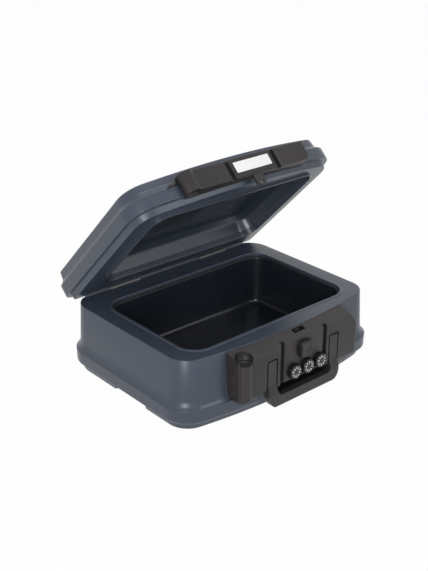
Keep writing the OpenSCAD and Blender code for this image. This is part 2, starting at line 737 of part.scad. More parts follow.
// Knob with a fluted rim, i is -1, 0 or 1 from left to right
module dial(i) color(near_black) translate([dial_x + i * dial_pitch, -dial_back, dial_z])
    rotate([90, 0, 0]) difference() {
        rotate_extrude() polygon([[0, 0], [dial_r - 0.6, 0], [dial_r, 0.6],
            [dial_r, dial_out + 0.5], [dial_r - 1.2, dial_out + 1.7], [dial_r - 3.4, dial_out + 1.7],
            [dial_r - 4, dial_out + 1.1], [0, dial_out + 1.1]]);
        translate([0, 0, -1]) cylinder(r = shaft_r + 0.01, h = 8);
        for (k = [0 : 19]) rotate(18 * k) translate([dial_r + 0.5, 0, -1])
            cylinder(r = 1, h = dial_out + 4, $fn = 24);
    }

// Shaft of one dial with the notched cam behind the wall
module cam(i) color(steel) difference() {
    union() {
        bar_y(dial_x + i * dial_pitch, dial_z, shaft_r, dial_back + 6.9, cam_front - cam_t - 2);
        bar_y(dial_x + i * dial_pitch, dial_z, cam_r, cam_front, cam_front - cam_t);
    }
    translate([dial_x + i * dial_pitch - 1.6, -cam_front - 1, dial_z + cam_r - 3.5])
        cube([3.2, cam_t + 2, 6]);
}
module dial_left() dial(-1);
module dial_middle() dial(0);
module dial_right() dial(1);
module cam_left() cam(-1);
module cam_middle() cam(0);
module cam_right() cam(1);

// Sliding bolt: plate, the bar over the cams, and the nose that holds the catch
module latch_bolt() color(steel) difference() {
    union() {
        block([lock_x - bolt_half, -bolt_front, bolt_low],
            [lock_x + bolt_half + 4, -bolt_front + bolt_t, lock_high - 1]);
        block([dial_x - dial_pitch, -bolt_front, bolt_low],
            [dial_x + dial_pitch, -bolt_front + bolt_t, bolt_low + 3]);
        block([lock_x - nose_half, -bolt_front, bolt_low],
            [lock_x + nose_half, -bolt_front + bolt_t, rim_h - 4]);
        block([lock_x - nose_half + 1.5, -nose_tip, catch_low + 2.6],
            [lock_x + nose_half - 1.5, -bolt_front + eps, rim_h - 4]);
    }
    for (g = guides) bar_y(g[0], g[1], guide_r + run, reach, 0);
}

module bolt_guide_pins() color(steel) for (g = guides)
    bar_y(g[0], g[1], guide_r, floor_back, lock_back - 1.8);

module latch_spring() color(steel) difference() {
    bar_y(lock_x, button_z, 4, bolt_front - bolt_t - 0.1, lock_back + 0.1);
    bar_y(lock_x, button_z, 2.6, reach, 0);
}

// ---------- hinges ----------

// Knuckles for one leaf: list of [start, end] along the hinge
module knuckles(x, spans) {
    for (k = spans) bar_x(hinge_y, hinge_z, knuckle_r, x + k[0], x + k[1]);
}
side_span = hinge_len / 2 - knuckle_w;
base_spans = [[-hinge_len / 2, -side_span], [side_span, hinge_len / 2]];
lid_spans = [[-side_span + fit, side_span - fit]];

module hinge_base(x) color(near_black) difference() {
    union() {
        knuckles(x, base_spans);
        for (k = base_spans) side_prism(x + k[0], x + k[1])
            polygon([[hinge_y + 1, hinge_z - 1], [leaf_y, hinge_z - 3.2],
                [leaf_y, leaf_high - 2], [leaf_y + leaf_t, leaf_high - 2],
                [leaf_y + leaf_t, leaf_high + 1], [leaf_y + 0.4, hinge_z - 3.1]]);
        block([x - hinge_len / 2, leaf_y, leaf_low], [x + hinge_len / 2, leaf_y + leaf_t, leaf_high]);
    }
    bar_x(hinge_y, hinge_z, hinge_pin_r + 0.01, x - hinge_len, x + hinge_len);
    for (dx = [-18, 18], dz = [-34, -18])
        translate([x + dx, leaf_y - 1, hinge_z + dz]) rotate([-90, 0, 0]) cylinder(r = 1.8, h = 10);
}

module hinge_lid(x) opened() color(near_black) difference() {
    union() {
        knuckles(x, lid_spans);
        side_prism(x + lid_spans[0][0], x + lid_spans[0][1])
            polygon([[hinge_y + 1, hinge_z + 1], [hinge_y + 3.4, hinge_z + 2.9],
                [lid_leaf_in, hinge_z + (lid_leaf_in - hinge_y) * tan(notch_deg) - 0.4],
                [lid_leaf_in + 1.5, lid_leaf_z + leaf_t], [lid_leaf_in + 1.5, lid_leaf_z],
                [hinge_y + 4.6, hinge_z + 2]]);
        block([x - hinge_len / 2, lid_leaf_in, lid_leaf_z],
            [x + hinge_len / 2, lid_leaf_out, lid_leaf_z + leaf_t]);
        block([x - hinge_len / 2, lid_leaf_out - leaf_t, lid_leaf_z],
            [x + hinge_len / 2, lid_leaf_out, lid_leaf_z + lid_leaf_h]);
    }
    bar_x(hinge_y, hinge_z, hinge_pin_r + run, x - hinge_len, x + hinge_len);
    for (dx = [-18, 18]) bar_y(x + dx, lid_screw_z, 1.8, 0, -reach);
}

module hinge_pin(x) color(steel)
    bar_x(hinge_y, hinge_z, hinge_pin_r, x - hinge_len / 2 - 0.2, x + hinge_len / 2 + 0.2);

module hinge_base_left() hinge_base(-hinge_x);
module hinge_base_right() hinge_base(hinge_x);
module hinge_lid_left() hinge_lid(-hinge_x);
module hinge_lid_right() hinge_lid(hinge_x);
module hinge_pin_left() hinge_pin(-hinge_x);
module hinge_pin_right() hinge_pin(hinge_x);

module hinge_base_screws() color(steel)
    for (s = [-1, 1], dx = [-18, 18], dz = [-34, -18])
        translate([s * hinge_x + dx, leaf_y + leaf_t, hinge_z + dz]) rotate([90, 0, 0]) {
            cylinder(r = 1.5, h = 14);
            translate([0, 0, -1]) cylinder(r = 3, h = 1);
        }

module hinge_lid_screws() opened() color(steel)
    for (s = [-1, 1], x = [s * hinge_x - 18, s * hinge_x + 18]) {
        bar_y(x, lid_screw_z, 1.5, 16 - lid_leaf_out, -lid_leaf_out - 0.5);
        bar_y(x, lid_screw_z, 3, -lid_leaf_out, -lid_leaf_out - 1);
    }

// ---------- lid front strip ----------

// Distance of the lid's flange face from the box's middle
function lid_face_y(x) = rim_d / 2 - lid_inset_front + lid_flange_out
    + front_bow * (1 - pow(x / (rim_w / 2 - lid_inset + lid_flange_out), 2));

// Distance of a strip screw's tip from the box's middle
function strip_screw_tip(x) = lid_face_y(x) + 4.6;

// Wall of the strip at its own place: x0 to x1, depth from its flat face
module strip_slab(x0, x1, low, high, out, depth) {
    block([x0, -strip_y - out, low], [x1, -strip_y + depth, high]);
}

module lid_front_strip() opened() color(warm_black) difference() {
    union() {
        front_prism(strip_y, rim_d / 2 - 10) polygon([[lid_boss_x, strip_low],
            [strip_right - 6, strip_low], [strip_right, strip_low + 8.5], [strip_right, strip_top],
            [lid_boss_x, strip_top]]);
        translate([lid_boss_x, -lid_boss_y, strip_low]) cylinder(r = lid_boss_r, h = strip_h);
        // thin wing that runs on past the boss along the lid's edge
        intersection() {
            front_prism(reach, 0) polygon([[lid_boss_x, strip_top - 8], [strip_left + 16, lid_face_top + 0.5],
                [strip_left, lid_face_top - 2], [strip_left, lid_face_top - 0.8],
                [strip_left + 16, strip_top - 2], [lid_boss_x, strip_top]]);
            loft(1, [[lid_face_top - 6, lid_flange_out + 3], [lid_face_top, lid_flange_out + 3],
                [strip_top + 1, lid_flange_out - lid_ledge_in + 4.5]]);
        }
    }
    lid_form();
    // dished lower end of the boss
    translate([lid_boss_x, -lid_boss_y, strip_low - lid_boss_r + 4.5]) sphere(r = lid_boss_r);
    // room for the centre panel, and the groove on each side of it
    strip_slab(lock_x - panel_half - eps, lock_x + panel_half + eps, panel_z0, strip_top + 1, 1, panel_t);
    for (s = [-1, 1])
        strip_slab(lock_x + s * (panel_half + groove_w / 2) - groove_w / 2,
            lock_x + s * (panel_half + groove_w / 2) + groove_w / 2,
            strip_low - 1, strip_top + 1, 1, panel_t + 1.5);
    // bays open towards the lid
    difference() {
        for (b = strip_bays) block([b[0], -strip_y + strip_t, lid_step_z + 1.5],
            [b[1], 0, strip_top - strip_t]);
        for (x = strip_screw_x) bar_y(x, strip_screw_z, 4, strip_y, 0);
    }
    for (x = strip_screw_x) bar_y(x, strip_screw_z, 1.44, strip_screw_tip(x) + 0.3, 0);
}

module strip_screws() opened() color(steel) for (x = strip_screw_x) {
    bar_y(x, strip_screw_z, 1.4, strip_screw_tip(x), strip_screw_tip(x) - 10);
    bar_y(x, strip_screw_z, 3.6, strip_screw_tip(x) - 8.5, strip_screw_tip(x) - 10.5);
}

module lid_centre_panel() opened() color(warm_black)
    strip_slab(lock_x - panel_half, lock_x + panel_half, panel_z0 + 0.2, strip_top, 0.4, panel_t - 0.1);

module name_plate() opened() color(plate_white)
    strip_slab(lock_x - plate_w / 2, lock_x + plate_w / 2, strip_low + 8.5,
        strip_low + 8.5 + plate_h, 1.4, -0.5);

module catch_frame() opened() color(near_black) difference() {
    block([lock_x - catch_w / 2, -catch_front, catch_low + 2],
        [lock_x + catch_w / 2, -catch_rear, strip_low]);
    block([lock_x - nose_half - 0.6, -reach, catch_low],
        [lock_x + nose_half + 0.6, 0, strip_low - 3]);
    block([lock_x - nose_half - 2, -catch_front - 1, catch_low],
        [lock_x + nose_half + 2, -catch_plate_y, strip_low + 1]);
}

module catch_plate() opened() color(steel) difference() {
    block([lock_x - nose_half - 1.9, -catch_plate_y - catch_plate_t + 0.05, catch_low],
        [lock_x + nose_half + 1.9, -catch_plate_y - 0.05, strip_low - 0.1]);
    block([lock_x - nose_half + 1, -reach, catch_low + 2], [lock_x + nose_half - 1, 0, rim_h - 3.4]);
}

base_outer_shell();
base_insulation();
base_inner_liner();
rim_seal();
lid_outer_shell();
lid_insulation();
lid_inner_liner();
lid_inside_plate();
front_housing();
housing_screws();
lock_panel();
lock_back_plate();
lock_screws();
carry_handle();
handle_pins();
push_button();
button_spring();
latch_bolt();
bolt_guide_pins();
latch_spring();
dial_left();
dial_middle();
dial_right();
cam_left();
cam_middle();
cam_right();
hinge_base_left();
hinge_base_right();
hinge_lid_left();
hinge_lid_right();
hinge_pin_left();
hinge_pin_right();
hinge_base_screws();
hinge_lid_screws();
lid_front_strip();
strip_screws();
lid_centre_panel();
name_plate();
catch_frame();
catch_plate();
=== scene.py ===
"""Looks of a portable fire-resistant deposit box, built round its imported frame.

The frame brings every rigid piece at its real place. This script gives each of them a finish,
and lays smooth, high-resolution surfaces over the pieces whose form shows from a step away.
Shapes are worked out in millimetres with the lid shut, and turned into place at the end.
"""

from __future__ import annotations

import json
import logging
import math
from dataclasses import dataclass, field, replace
from enum import Enum
from typing import Callable, Sequence

import bpy
import numpy as np
from mathutils import Matrix, Vector

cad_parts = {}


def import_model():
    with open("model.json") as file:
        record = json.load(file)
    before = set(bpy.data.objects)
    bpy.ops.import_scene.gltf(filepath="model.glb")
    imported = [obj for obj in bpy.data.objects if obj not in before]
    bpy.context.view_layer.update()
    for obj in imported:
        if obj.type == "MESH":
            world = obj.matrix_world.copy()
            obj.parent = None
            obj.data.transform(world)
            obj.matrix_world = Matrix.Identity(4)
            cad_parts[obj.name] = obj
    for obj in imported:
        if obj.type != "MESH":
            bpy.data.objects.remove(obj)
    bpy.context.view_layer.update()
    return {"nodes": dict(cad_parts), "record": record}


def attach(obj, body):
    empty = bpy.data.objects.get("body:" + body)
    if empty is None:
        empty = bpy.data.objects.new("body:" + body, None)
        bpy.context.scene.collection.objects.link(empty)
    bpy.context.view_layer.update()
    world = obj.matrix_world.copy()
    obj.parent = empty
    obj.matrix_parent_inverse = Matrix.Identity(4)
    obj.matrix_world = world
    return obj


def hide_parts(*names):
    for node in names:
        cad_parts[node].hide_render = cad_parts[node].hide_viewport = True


LOG = logging.getLogger("deposit_box")
MM = 0.001
Array = np.ndarray

# Shared places and sizes in millimetres: X to the right, -Y to the front, Z up.
FAR = 400  # reach of a cutting piece, well past the box
RIM_Z = 113.8
FACE = 181.0  # distance of the housing's and the handle's flat fronts from the middle
LOCK_X = 11.0
PANEL_LEFT, PANEL_RIGHT = -30.5, 52.5
DIAL_X, DIAL_PITCH, DIAL_Z = 16.5, 27.4, 53.2
BUTTON_Z = 85
BOSS_X, BOSS_Y = -108, -176
PIN_Y, PIN_Z = -175.5, 78
HINGE_X, HINGE_Y, HINGE_Z = 95, 133.6, 113.8
KNUCKLE_HALF = 30.3
NOTCH_DEGREES = 44
SHELF_REACH, SHELF_FALL = 60.0, 0.33
BAR_LOW, BAR_TOP = 4.8, 24.4  # the handle's bar while it hangs down


class Body(Enum):
    """The rigid bodies of the frame that pieces ride on."""

    BASE = "base"
    LID = "lid"
    HANDLE = "handle"
    BUTTON = "button"
    BOLT = "bolt"
    DIAL_LEFT = "dial_left"
    DIAL_MIDDLE = "dial_middle"
    DIAL_RIGHT = "dial_right"


class Slot(Enum):
    """Material slots of the record."""

    SHELL = "slate_plastic"
    BLACK = "black_plastic"
    LINER = "liner_plastic"
    DIAL = "dial_plastic"
    FILLER = "fire_filler"
    SEAL = "seal_rubber"
    HINGE = "hinge_metal"
    STEEL = "plain_steel"
    PLATE = "plate_white"


# ---------------------------------------------------------------- outlines


@dataclass(frozen=True)
class BowedOutline:
    """Rounded rectangle whose front edge bows out, in millimetres.

    Attributes:
        half_width: half the width of the outline.
        front: distance of the front's ends from the middle, without the bow.
        rear: distance of the rear edge from the middle.
        bow: how far the front bows out in the middle; 0 gives a straight front.
        front_radius: radius of the front corners.
        rear_radius: radius of the rear corners.
    """

    half_width: float
    front: float
    rear: float
    bow: float
    front_radius: float
    rear_radius: float
    corner_steps: int = 18
    bow_steps: int = 48

    def rings(self, offsets: Array) -> Array:
        """Outline points for several outward offsets at once.

        Each corner is an arc about its own centre, and the front is one arc of the large
        circle through both front corners, so rings of different offset match point by point.

        Args:
            offsets: outward offsets in millimetres, one for each ring.

        Returns:
            Array of shape (rings, points, 2), anticlockwise seen from above.
        """
        off = np.atleast_1d(np.asarray(offsets, float))[:, None]
        half, front, rear = self.half_width + off, self.front + off, self.rear + off
        r_front, r_rear = self.front_radius + off, np.maximum(self.rear_radius + off, 1.0)
        x_corner = half - r_front
        if self.bow > 0:
            big = (half**2 + self.bow**2) / (2 * self.bow)
            y_big = -front - self.bow + big
            y_corner = y_big - np.sqrt((big - r_front) ** 2 - x_corner**2)
            lean = np.arctan2(y_corner - y_big, -x_corner) + 2 * np.pi
        else:
            y_corner = -front + r_front
            lean = np.full_like(off, 1.5 * np.pi)
        turn = np.linspace(0, 1, self.corner_steps + 1)[None, :]
        sweep = np.linspace(0, 1, self.bow_steps + 1)[None, 1:-1]

        def arc(cx: Array, cy: Array, radius: Array, start: Array, end: Array, share: Array) -> Array:
            """Points of an arc at the given shares of its sweep."""
            angle = start + (end - start) * share
            return np.stack([cx + radius * np.cos(angle), cy + radius * np.sin(angle)], axis=-1)

        pi = np.pi
        parts = [arc(-x_corner, y_corner, r_front, pi, lean, turn)]
        if self.bow > 0:
            parts.append(arc(0.0 * off, y_big, big, lean, 3 * pi - lean, sweep))
        parts += [
            arc(x_corner, y_corner, r_front, 3 * pi - lean, 2 * pi, turn),
            arc(half - r_rear, rear - r_rear, r_rear, 0, 0.5 * pi, turn),
            arc(r_rear - half, rear - r_rear, r_rear, 0.5 * pi, pi, turn),
        ]
        return np.concatenate(parts, axis=1)


RIM = BowedOutline(196, 139.7, 139.7, 19.8, 35, 40)
MOUTH = BowedOutline(165, 127, 91, 0, 31, 31)


def fillet_path(corners: Sequence[tuple[float, float, float]], closed: bool = False, steps: int = 6) -> Array:
    """Polyline with its corners rounded by tangent arcs.

    At a corner with half angle h, the arc of radius r touches both legs at r / tan(h) from the
    corner, and its centre lies on the bisector at r / sin(h).

    Args:
        corners: (a, b, radius) of each corner; an open path keeps its two ends as they are.
        closed: whether the last corner joins the first.
        steps: segments in each arc.

    Returns:
        Array of shape (points, 2).
    """
    pts = np.array([c[:2] for c in corners], float)
    out: list[Array] = []
    for i, (_, _, radius) in enumerate(corners):
        here = pts[i]
        if radius <= 0 or (not closed and i in (0, len(corners) - 1)):
            out.append(here[None, :])
            continue
        back, ahead = pts[i - 1] - here, pts[(i + 1) % len(pts)] - here
        u, v = back / np.linalg.norm(back), ahead / np.linalg.norm(ahead)
        half = 0.5 * math.acos(float(np.clip(u @ v, -1, 1)))
        if half > 0.5 * math.pi - 1e-3:
            out.append(here[None, :])
            continue
        reach = min(radius / math.tan(half), 0.49 * np.linalg.norm(back), 0.49 * np.linalg.norm(ahead))
        r = reach * math.tan(half)
        bisector = (u + v) / np.linalg.norm(u + v)
        centre = here + bisector * r / math.sin(half)
        a, b = here + u * reach - centre, here + v * reach - centre
        start, turn = math.atan2(a[1], a[0]), math.atan2(a[0] * b[1] - a[1] * b[0], a @ b)
        angle = start + turn * np.linspace(0, 1, steps + 1)
        out.append(centre + r * np.stack([np.cos(angle), np.sin(angle)], axis=-1))
    return np.concatenate(out)


def grow_outline(outline: Array, amount: Array) -> Array:
    """A closed anticlockwise outline moved along its corner normals.

    Each point moves along the mean of its two edges' outward normals, lengthened so that both
    edges move by the amount.

    Args:
        outline: array of shape (points, 2).
        amount: outward movements, one for each ring wanted.

    Returns:
        Array of shape (rings, points, 2).
    """
    edge = np.roll(outline, -1, axis=0) - outline
    normal = np.stack([edge[:, 1], -edge[:, 0]], axis=-1)
    normal /= np.maximum(np.linalg.norm(normal, axis=1, keepdims=True), 1e-9)
    mean = normal + np.roll(normal, 1, axis=0)
    mean /= np.maximum(np.linalg.norm(mean, axis=1, keepdims=True), 1e-9)
    mean /= np.maximum((mean * normal).sum(axis=1, keepdims=True), 0.5)
    return outline[None] + np.atleast_1d(amount)[:, None, None] * mean[None]


# ---------------------------------------------------------------- meshes


def make_object(name: str, points: Array, faces: Sequence[Sequence[int]]) -> bpy.types.Object:
    """A mesh object at the origin from points in millimetres."""
    mesh = bpy.data.meshes.new(name)
    mesh.from_pydata((np.asarray(points).reshape(-1, 3) * MM).tolist(), [], [list(f) for f in faces])
    mesh.update()
    obj = bpy.data.objects.new(name, mesh)
    bpy.context.scene.collection.objects.link(obj)
    return obj


def grid_faces(rows: int, columns: int) -> Array:
    """Quads of a grid whose columns close round, rows upwards, facing outwards."""
    i = np.arange(rows - 1)[:, None]
    j = np.arange(columns)[None, :]
    i_next, j_next = i + 1, (j + 1) % columns
    a, b = i * columns + j, i * columns + j_next
    c, d = i_next * columns + j_next, i_next * columns + j
    return np.stack([a + 0 * b, b + 0 * a, c, d], axis=-1).reshape(-1, 4)


def skin_rings(name: str, rings: Array) -> bpy.types.Object:
    """Closed solid through rings of points, with a flat cap at each end.

    Args:
        name: the object's name.
        rings: array of shape (rings, points, 3), anticlockwise seen from the last ring.
    """
    rows, columns = rings.shape[:2]
    faces = grid_faces(rows, columns).tolist()
    faces.append(list(range(columns - 1, -1, -1)))
    faces.append(list(range((rows - 1) * columns, rows * columns)))
    return make_object(name, rings, faces)


def loft(name: str, outline: BowedOutline, profile: Array) -> bpy.types.Object:
    """Solid whose plan at each height is the outline grown by the profile's offset.

    Args:
        name: the object's name.
        outline: the plan.
        profile: (offset, height) rows from the bottom up.
    """
    plan = outline.rings(profile[:, 0])
    height = np.broadcast_to(profile[:, 1][:, None, None], plan.shape[:2] + (1,))
    return skin_rings(name, np.concatenate([plan, height], axis=-1))


def slab(name: str, outline: Array, low: float, high: float, edge_high: float = 0.0,
         place: Callable[[Array], Array] | None = None, steps: int = 5) -> bpy.types.Object:
    """Thick plate on an outline, with its upper rim rounded by a quarter circle.

    Ring by ring the outline draws in by r (1 - cos a) while the height runs r sin a, from the
    side to the flat face.

    Args:
        name: the object's name.
        outline: closed anticlockwise outline, shape (points, 2).
        low, high: heights of the two faces.
        edge_high: radius of the upper rim.
        place: maps points (u, v, height) to (x, y, z); none keeps them.
        steps: segments in the rounded rim.
    """
    turn = np.linspace(0, 0.5 * np.pi, steps + 1)
    parts = [np.array([[0.0, low]])]
    if edge_high > 0:
        parts.append(np.stack([-edge_high * (1 - np.cos(turn)), high - edge_high * (1 - np.sin(turn))], -1))
    else:
        parts.append(np.array([[0.0, high]]))
    profile = np.concatenate(parts)
    plan = grow_outline(outline, profile[:, 0])
    height = np.broadcast_to(profile[:, 1][:, None, None], plan.shape[:2] + (1,))
    points = np.concatenate([plan, height], axis=-1)
    return skin_rings(name, points if place is None else place(points))


def facing_front(points: Array) -> Array:
    """(x, z, distance in front of the middle) to (x, y, z)."""
    return np.stack([points[..., 0], -points[..., 2], points[..., 1]], axis=-1)


def lathe(name: str, profile: Array, centre: tuple[float, float, float], axis: str = "z",
          steps: int = 64) -> bpy.types.Object:
    """Solid of revolution of an open (radius, height) profile whose ends lie on the axis.

    Args:
        name: the object's name.
        profile: (radius, height) rows from the bottom up.
        centre: the point where the height is 0.
        axis: "z" upwards, "front" along -Y, or "x" to the right.
        steps: segments round.
    """
    angle = np.linspace(0, 2 * np.pi, steps, endpoint=False)
    inner = profile[(profile[:, 0] > 1e-6)]
    ring = inner[:, 0][:, None, None] * np.stack([np.cos(angle), np.sin(angle)], -1)[None]
    height = np.broadcast_to(inner[:, 1][:, None, None], ring.shape[:2] + (1,))
    points = np.concatenate([ring, height], axis=-1)
    return skin_rings(name, turn_to(points, axis) + np.array(centre))


def side_on(points: Array) -> Array:
    """(y, z, x) to (x, y, z)."""
    return np.stack([points[..., 2], points[..., 0], points[..., 1]], axis=-1)


def turn_to(points: Array, axis: str) -> Array:
    """Turns points whose axis is Z so that it points up, to the front or to the right."""
    x, y, z = points[..., 0], points[..., 1], points[..., 2]
    if axis == "front":
        return np.stack([x, -z, y], axis=-1)
    if axis == "x":
        return np.stack([z, x, y], axis=-1)
    return points


def block(name: str, low: Sequence[float], high: Sequence[float]) -> bpy.types.Object:
    """Plain box between two corners, used for cutting and for hidden cores."""
    (x0, y0, z0), (x1, y1, z1) = low, high
    outline = np.array([[x0, y0], [x1, y0], [x1, y1], [x0, y1]], float)
    return slab(name, outline, z0, z1)


def bar(name: str, centre: tuple[float, float, float], radius: float, length: float, axis: str,
        steps: int = 48) -> bpy.types.Object:
    """Plain round bar that starts at a point and runs along an axis, used for cutting."""
    return lathe(name, np.array([[radius, 0.0], [radius, length]]), centre, axis, steps)


def join(name: str, parts: Sequence[bpy.types.Object]) -> bpy.types.Object:
    """Joins the meshes of several objects into one object."""
    points: list[Array] = []
    faces: list[list[int]] = []
    start = 0
    for part in parts:
        mesh = part.data
        coords = np.empty(len(mesh.vertices) * 3)
        mesh.vertices.foreach_get("co", coords)
        points.append(coords.reshape(-1, 3) / MM)
        faces += [[v + start for v in face.vertices] for face in mesh.polygons]
        start += len(mesh.vertices)
        bpy.data.objects.remove(part)
    return make_object(name, np.concatenate(points), faces)


def rounded_rectangle(cx: float, cy: float, width: float, height: float, radius: float, steps: int = 8) -> Array:
    """Anticlockwise rectangle with round corners, about a centre."""
    w, h = 0.5 * width, 0.5 * height
    corners = [(cx - w, cy - h, radius), (cx + w, cy - h, radius), (cx + w, cy + h, radius), (cx - w, cy + h, radius)]
    return fillet_path(corners, closed=True, steps=steps)


def combine(target: bpy.types.Object, others: Sequence[bpy.types.Object], operation: str) -> bpy.types.Object:
    """Applies one boolean operation after another and deletes the other objects.

    Args:
        target: the object that is changed.
        others: what is added, cut away or met.
        operation: UNION, DIFFERENCE or INTERSECT.
    """
    for other in others:
        modifier = target.modifiers.new("combine", "BOOLEAN")
        modifier.object = other
        modifier.operation = operation
        modifier.solver = "MANIFOLD"
        bake_modifiers(target)
        bpy.data.objects.remove(other)
    return target


def bake_modifiers(obj: bpy.types.Object) -> bpy.types.Object:
    """Replaces the mesh by its evaluated form and clears the modifiers."""
    bpy.context.view_layer.update()
    graph = bpy.context.evaluated_depsgraph_get()
    mesh = bpy.data.meshes.new_from_object(obj.evaluated_get(graph))
    obj.modifiers.clear()
    obj.data = mesh
    return obj


def smooth(obj: bpy.types.Object, angle: float = 32.0) -> bpy.types.Object:
    """Smooth shading with sharp edges where faces meet at more than the angle, in degrees."""
    mesh = obj.data
    mesh.shade_smooth()
    mesh.set_sharp_from_angle(angle=math.radians(angle))
    return obj


def move_points(obj: bpy.types.Object, matrix: Matrix) -> bpy.types.Object:
    """Moves a mesh's points, and leaves its object at the origin."""
    obj.data.transform(matrix)
    obj.data.update()
    return obj


# ---------------------------------------------------------------- finishes


class NodeGroups:
    """Shader node groups that several finishes share, each built once."""

    def __init__(self) -> None:
        """Builds the grain, wear and dust groups."""
        self.grain = self._grain()
        self.wear = self._wear()
        self.dust = self._dust()

    @staticmethod
    def _new(name: str, inputs: Sequence[tuple[str, str, object]], outputs: Sequence[tuple[str, str]]) \
            -> tuple[bpy.types.NodeTree, bpy.types.Node, bpy.types.Node]:
        """An empty group with named sockets, and its two end nodes."""
        tree = bpy.data.node_groups.new(name, "ShaderNodeTree")
        for label, kind, default in inputs:
            socket = tree.interface.new_socket(name=label, in_out="INPUT", socket_type=kind)
            socket.default_value = default
        for label, kind in outputs:
            tree.interface.new_socket(name=label, in_out="OUTPUT", socket_type=kind)
        return tree, tree.nodes.new("NodeGroupInput"), tree.nodes.new("NodeGroupOutput")

    def _grain(self) -> bpy.types.NodeTree:
        """Moulded grain: fine height noise, a slow drift of tone, and roughness that follows it."""
        tree, start, end = self._new(
            "moulded_grain",
            [("Color", "NodeSocketColor", (0.5, 0.5, 0.5, 1)), ("Scale", "NodeSocketFloat", 1500.0),
             ("Tone", "NodeSocketFloat", 0.08), ("Roughness", "NodeSocketFloat", 0.5)],
            [("Color", "NodeSocketColor"), ("Roughness", "NodeSocketFloat"), ("Height", "NodeSocketFloat")])
        nodes, links = tree.nodes, tree.links
        place = nodes.new("ShaderNodeTexCoord")
        fine = nodes.new("ShaderNodeTexNoise")
        fine.inputs["Detail"].default_value = 3.0
        links.new(place.outputs["Object"], fine.inputs["Vector"])
        links.new(start.outputs["Scale"], fine.inputs["Scale"])
        slow = nodes.new("ShaderNodeTexNoise")
        slow.inputs["Scale"].default_value = 9.0
        slow.inputs["Detail"].default_value = 5.0
        links.new(place.outputs["Object"], slow.inputs["Vector"])
        centred = self._math(tree, "SUBTRACT", slow.outputs["Fac"], 0.5)
        drift = self._math(tree, "MULTIPLY", centred, start.outputs["Tone"])
        gain = self._math(tree, "MULTIPLY_ADD", drift, 2.0, 1.0)
        tinted = nodes.new("ShaderNodeVectorMath")
        tinted.operation = "SCALE"
        links.new(start.outputs["Color"], tinted.inputs[0])
        links.new(gain, tinted.inputs["Scale"])
        rough = self._math(tree, "MULTIPLY_ADD", drift, 1.2, start.outputs["Roughness"])
        links.new(tinted.outputs[0], end.inputs["Color"])
        links.new(rough, end.inputs["Roughness"])
        links.new(fine.outputs["Fac"], end.inputs["Height"])
        return tree

    def _wear(self) -> bpy.types.NodeTree:
        """Edge wear: a mask on convex edges, broken up by noise."""
        tree, start, end = self._new(
            "edge_wear",
            [("Color", "NodeSocketColor", (0.5, 0.5, 0.5, 1)), ("Worn", "NodeSocketColor", (0.7, 0.7, 0.7, 1)),
             ("Amount", "NodeSocketFloat", 0.4)],
            [("Color", "NodeSocketColor")])
        nodes, links = tree.nodes, tree.links
        geometry = nodes.new("ShaderNodeNewGeometry")
        place = nodes.new("ShaderNodeTexCoord")
        noise = nodes.new("ShaderNodeTexNoise")
        noise.inputs["Scale"].default_value = 60.0
        noise.inputs["Detail"].default_value = 6.0
        links.new(place.outputs["Object"], noise.inputs["Vector"])
        edge = nodes.new("ShaderNodeMapRange")
        edge.inputs["From Min"].default_value = 0.51
        edge.inputs["From Max"].default_value = 0.60
        links.new(geometry.outputs["Pointiness"], edge.inputs["Value"])
        broken = self._math(tree, "MULTIPLY", edge.outputs["Result"], noise.outputs["Fac"])
        mask = self._math(tree, "MULTIPLY", broken, start.outputs["Amount"])
        mix = nodes.new("ShaderNodeMix")
        mix.data_type = "RGBA"
        links.new(mask, mix.inputs["Factor"])
        links.new(start.outputs["Color"], mix.inputs["A"])
        links.new(start.outputs["Worn"], mix.inputs["B"])
        links.new(mix.outputs["Result"], end.inputs["Color"])
        return tree

    def _dust(self) -> bpy.types.NodeTree:
        """Dust: a thin pale veil on faces that look up, in soft patches."""
        tree, start, end = self._new(
            "dust",
            [("Color", "NodeSocketColor", (0.5, 0.5, 0.5, 1)), ("Roughness", "NodeSocketFloat", 0.5),
             ("Amount", "NodeSocketFloat", 0.05)],
            [("Color", "NodeSocketColor"), ("Roughness", "NodeSocketFloat")])
        nodes, links = tree.nodes, tree.links
        geometry = nodes.new("ShaderNodeNewGeometry")
        parts = nodes.new("ShaderNodeSeparateXYZ")
        links.new(geometry.outputs["Normal"], parts.inputs["Vector"])
        place = nodes.new("ShaderNodeTexCoord")
        noise = nodes.new("ShaderNodeTexNoise")
        noise.inputs["Scale"].default_value = 35.0
        noise.inputs["Detail"].default_value = 7.0
        links.new(place.outputs["Object"], noise.inputs["Vector"])
        up = nodes.new("ShaderNodeMapRange")
        up.inputs["From Min"].default_value = 0.5
        links.new(parts.outputs["Z"], up.inputs["Value"])
        patchy = self._math(tree, "MULTIPLY", up.outputs["Result"], noise.outputs["Fac"])
        mask = self._math(tree, "MULTIPLY", patchy, start.outputs["Amount"])
        mix = nodes.new("ShaderNodeMix")
        mix.data_type = "RGBA"
        mix.inputs["B"].default_value = (0.55, 0.54, 0.52, 1)
        links.new(mask, mix.inputs["Factor"])
        links.new(start.outputs["Color"], mix.inputs["A"])
        rough = self._math(tree, "MULTIPLY_ADD", mask, 0.6, start.outputs["Roughness"])
        links.new(mix.outputs["Result"], end.inputs["Color"])
        links.new(rough, end.inputs["Roughness"])
        return tree

    @staticmethod
    def _math(tree: bpy.types.NodeTree, operation: str, *values: object) -> bpy.types.NodeSocket:
        """A Math node fed by sockets or plain numbers; returns its output."""
        node = tree.nodes.new("ShaderNodeMath")
        node.operation = operation
        for socket, value in zip(node.inputs, values):
            if isinstance(value, bpy.types.NodeSocket):
                tree.links.new(value, socket)
            else:
                socket.default_value = value
        return node.outputs[0]


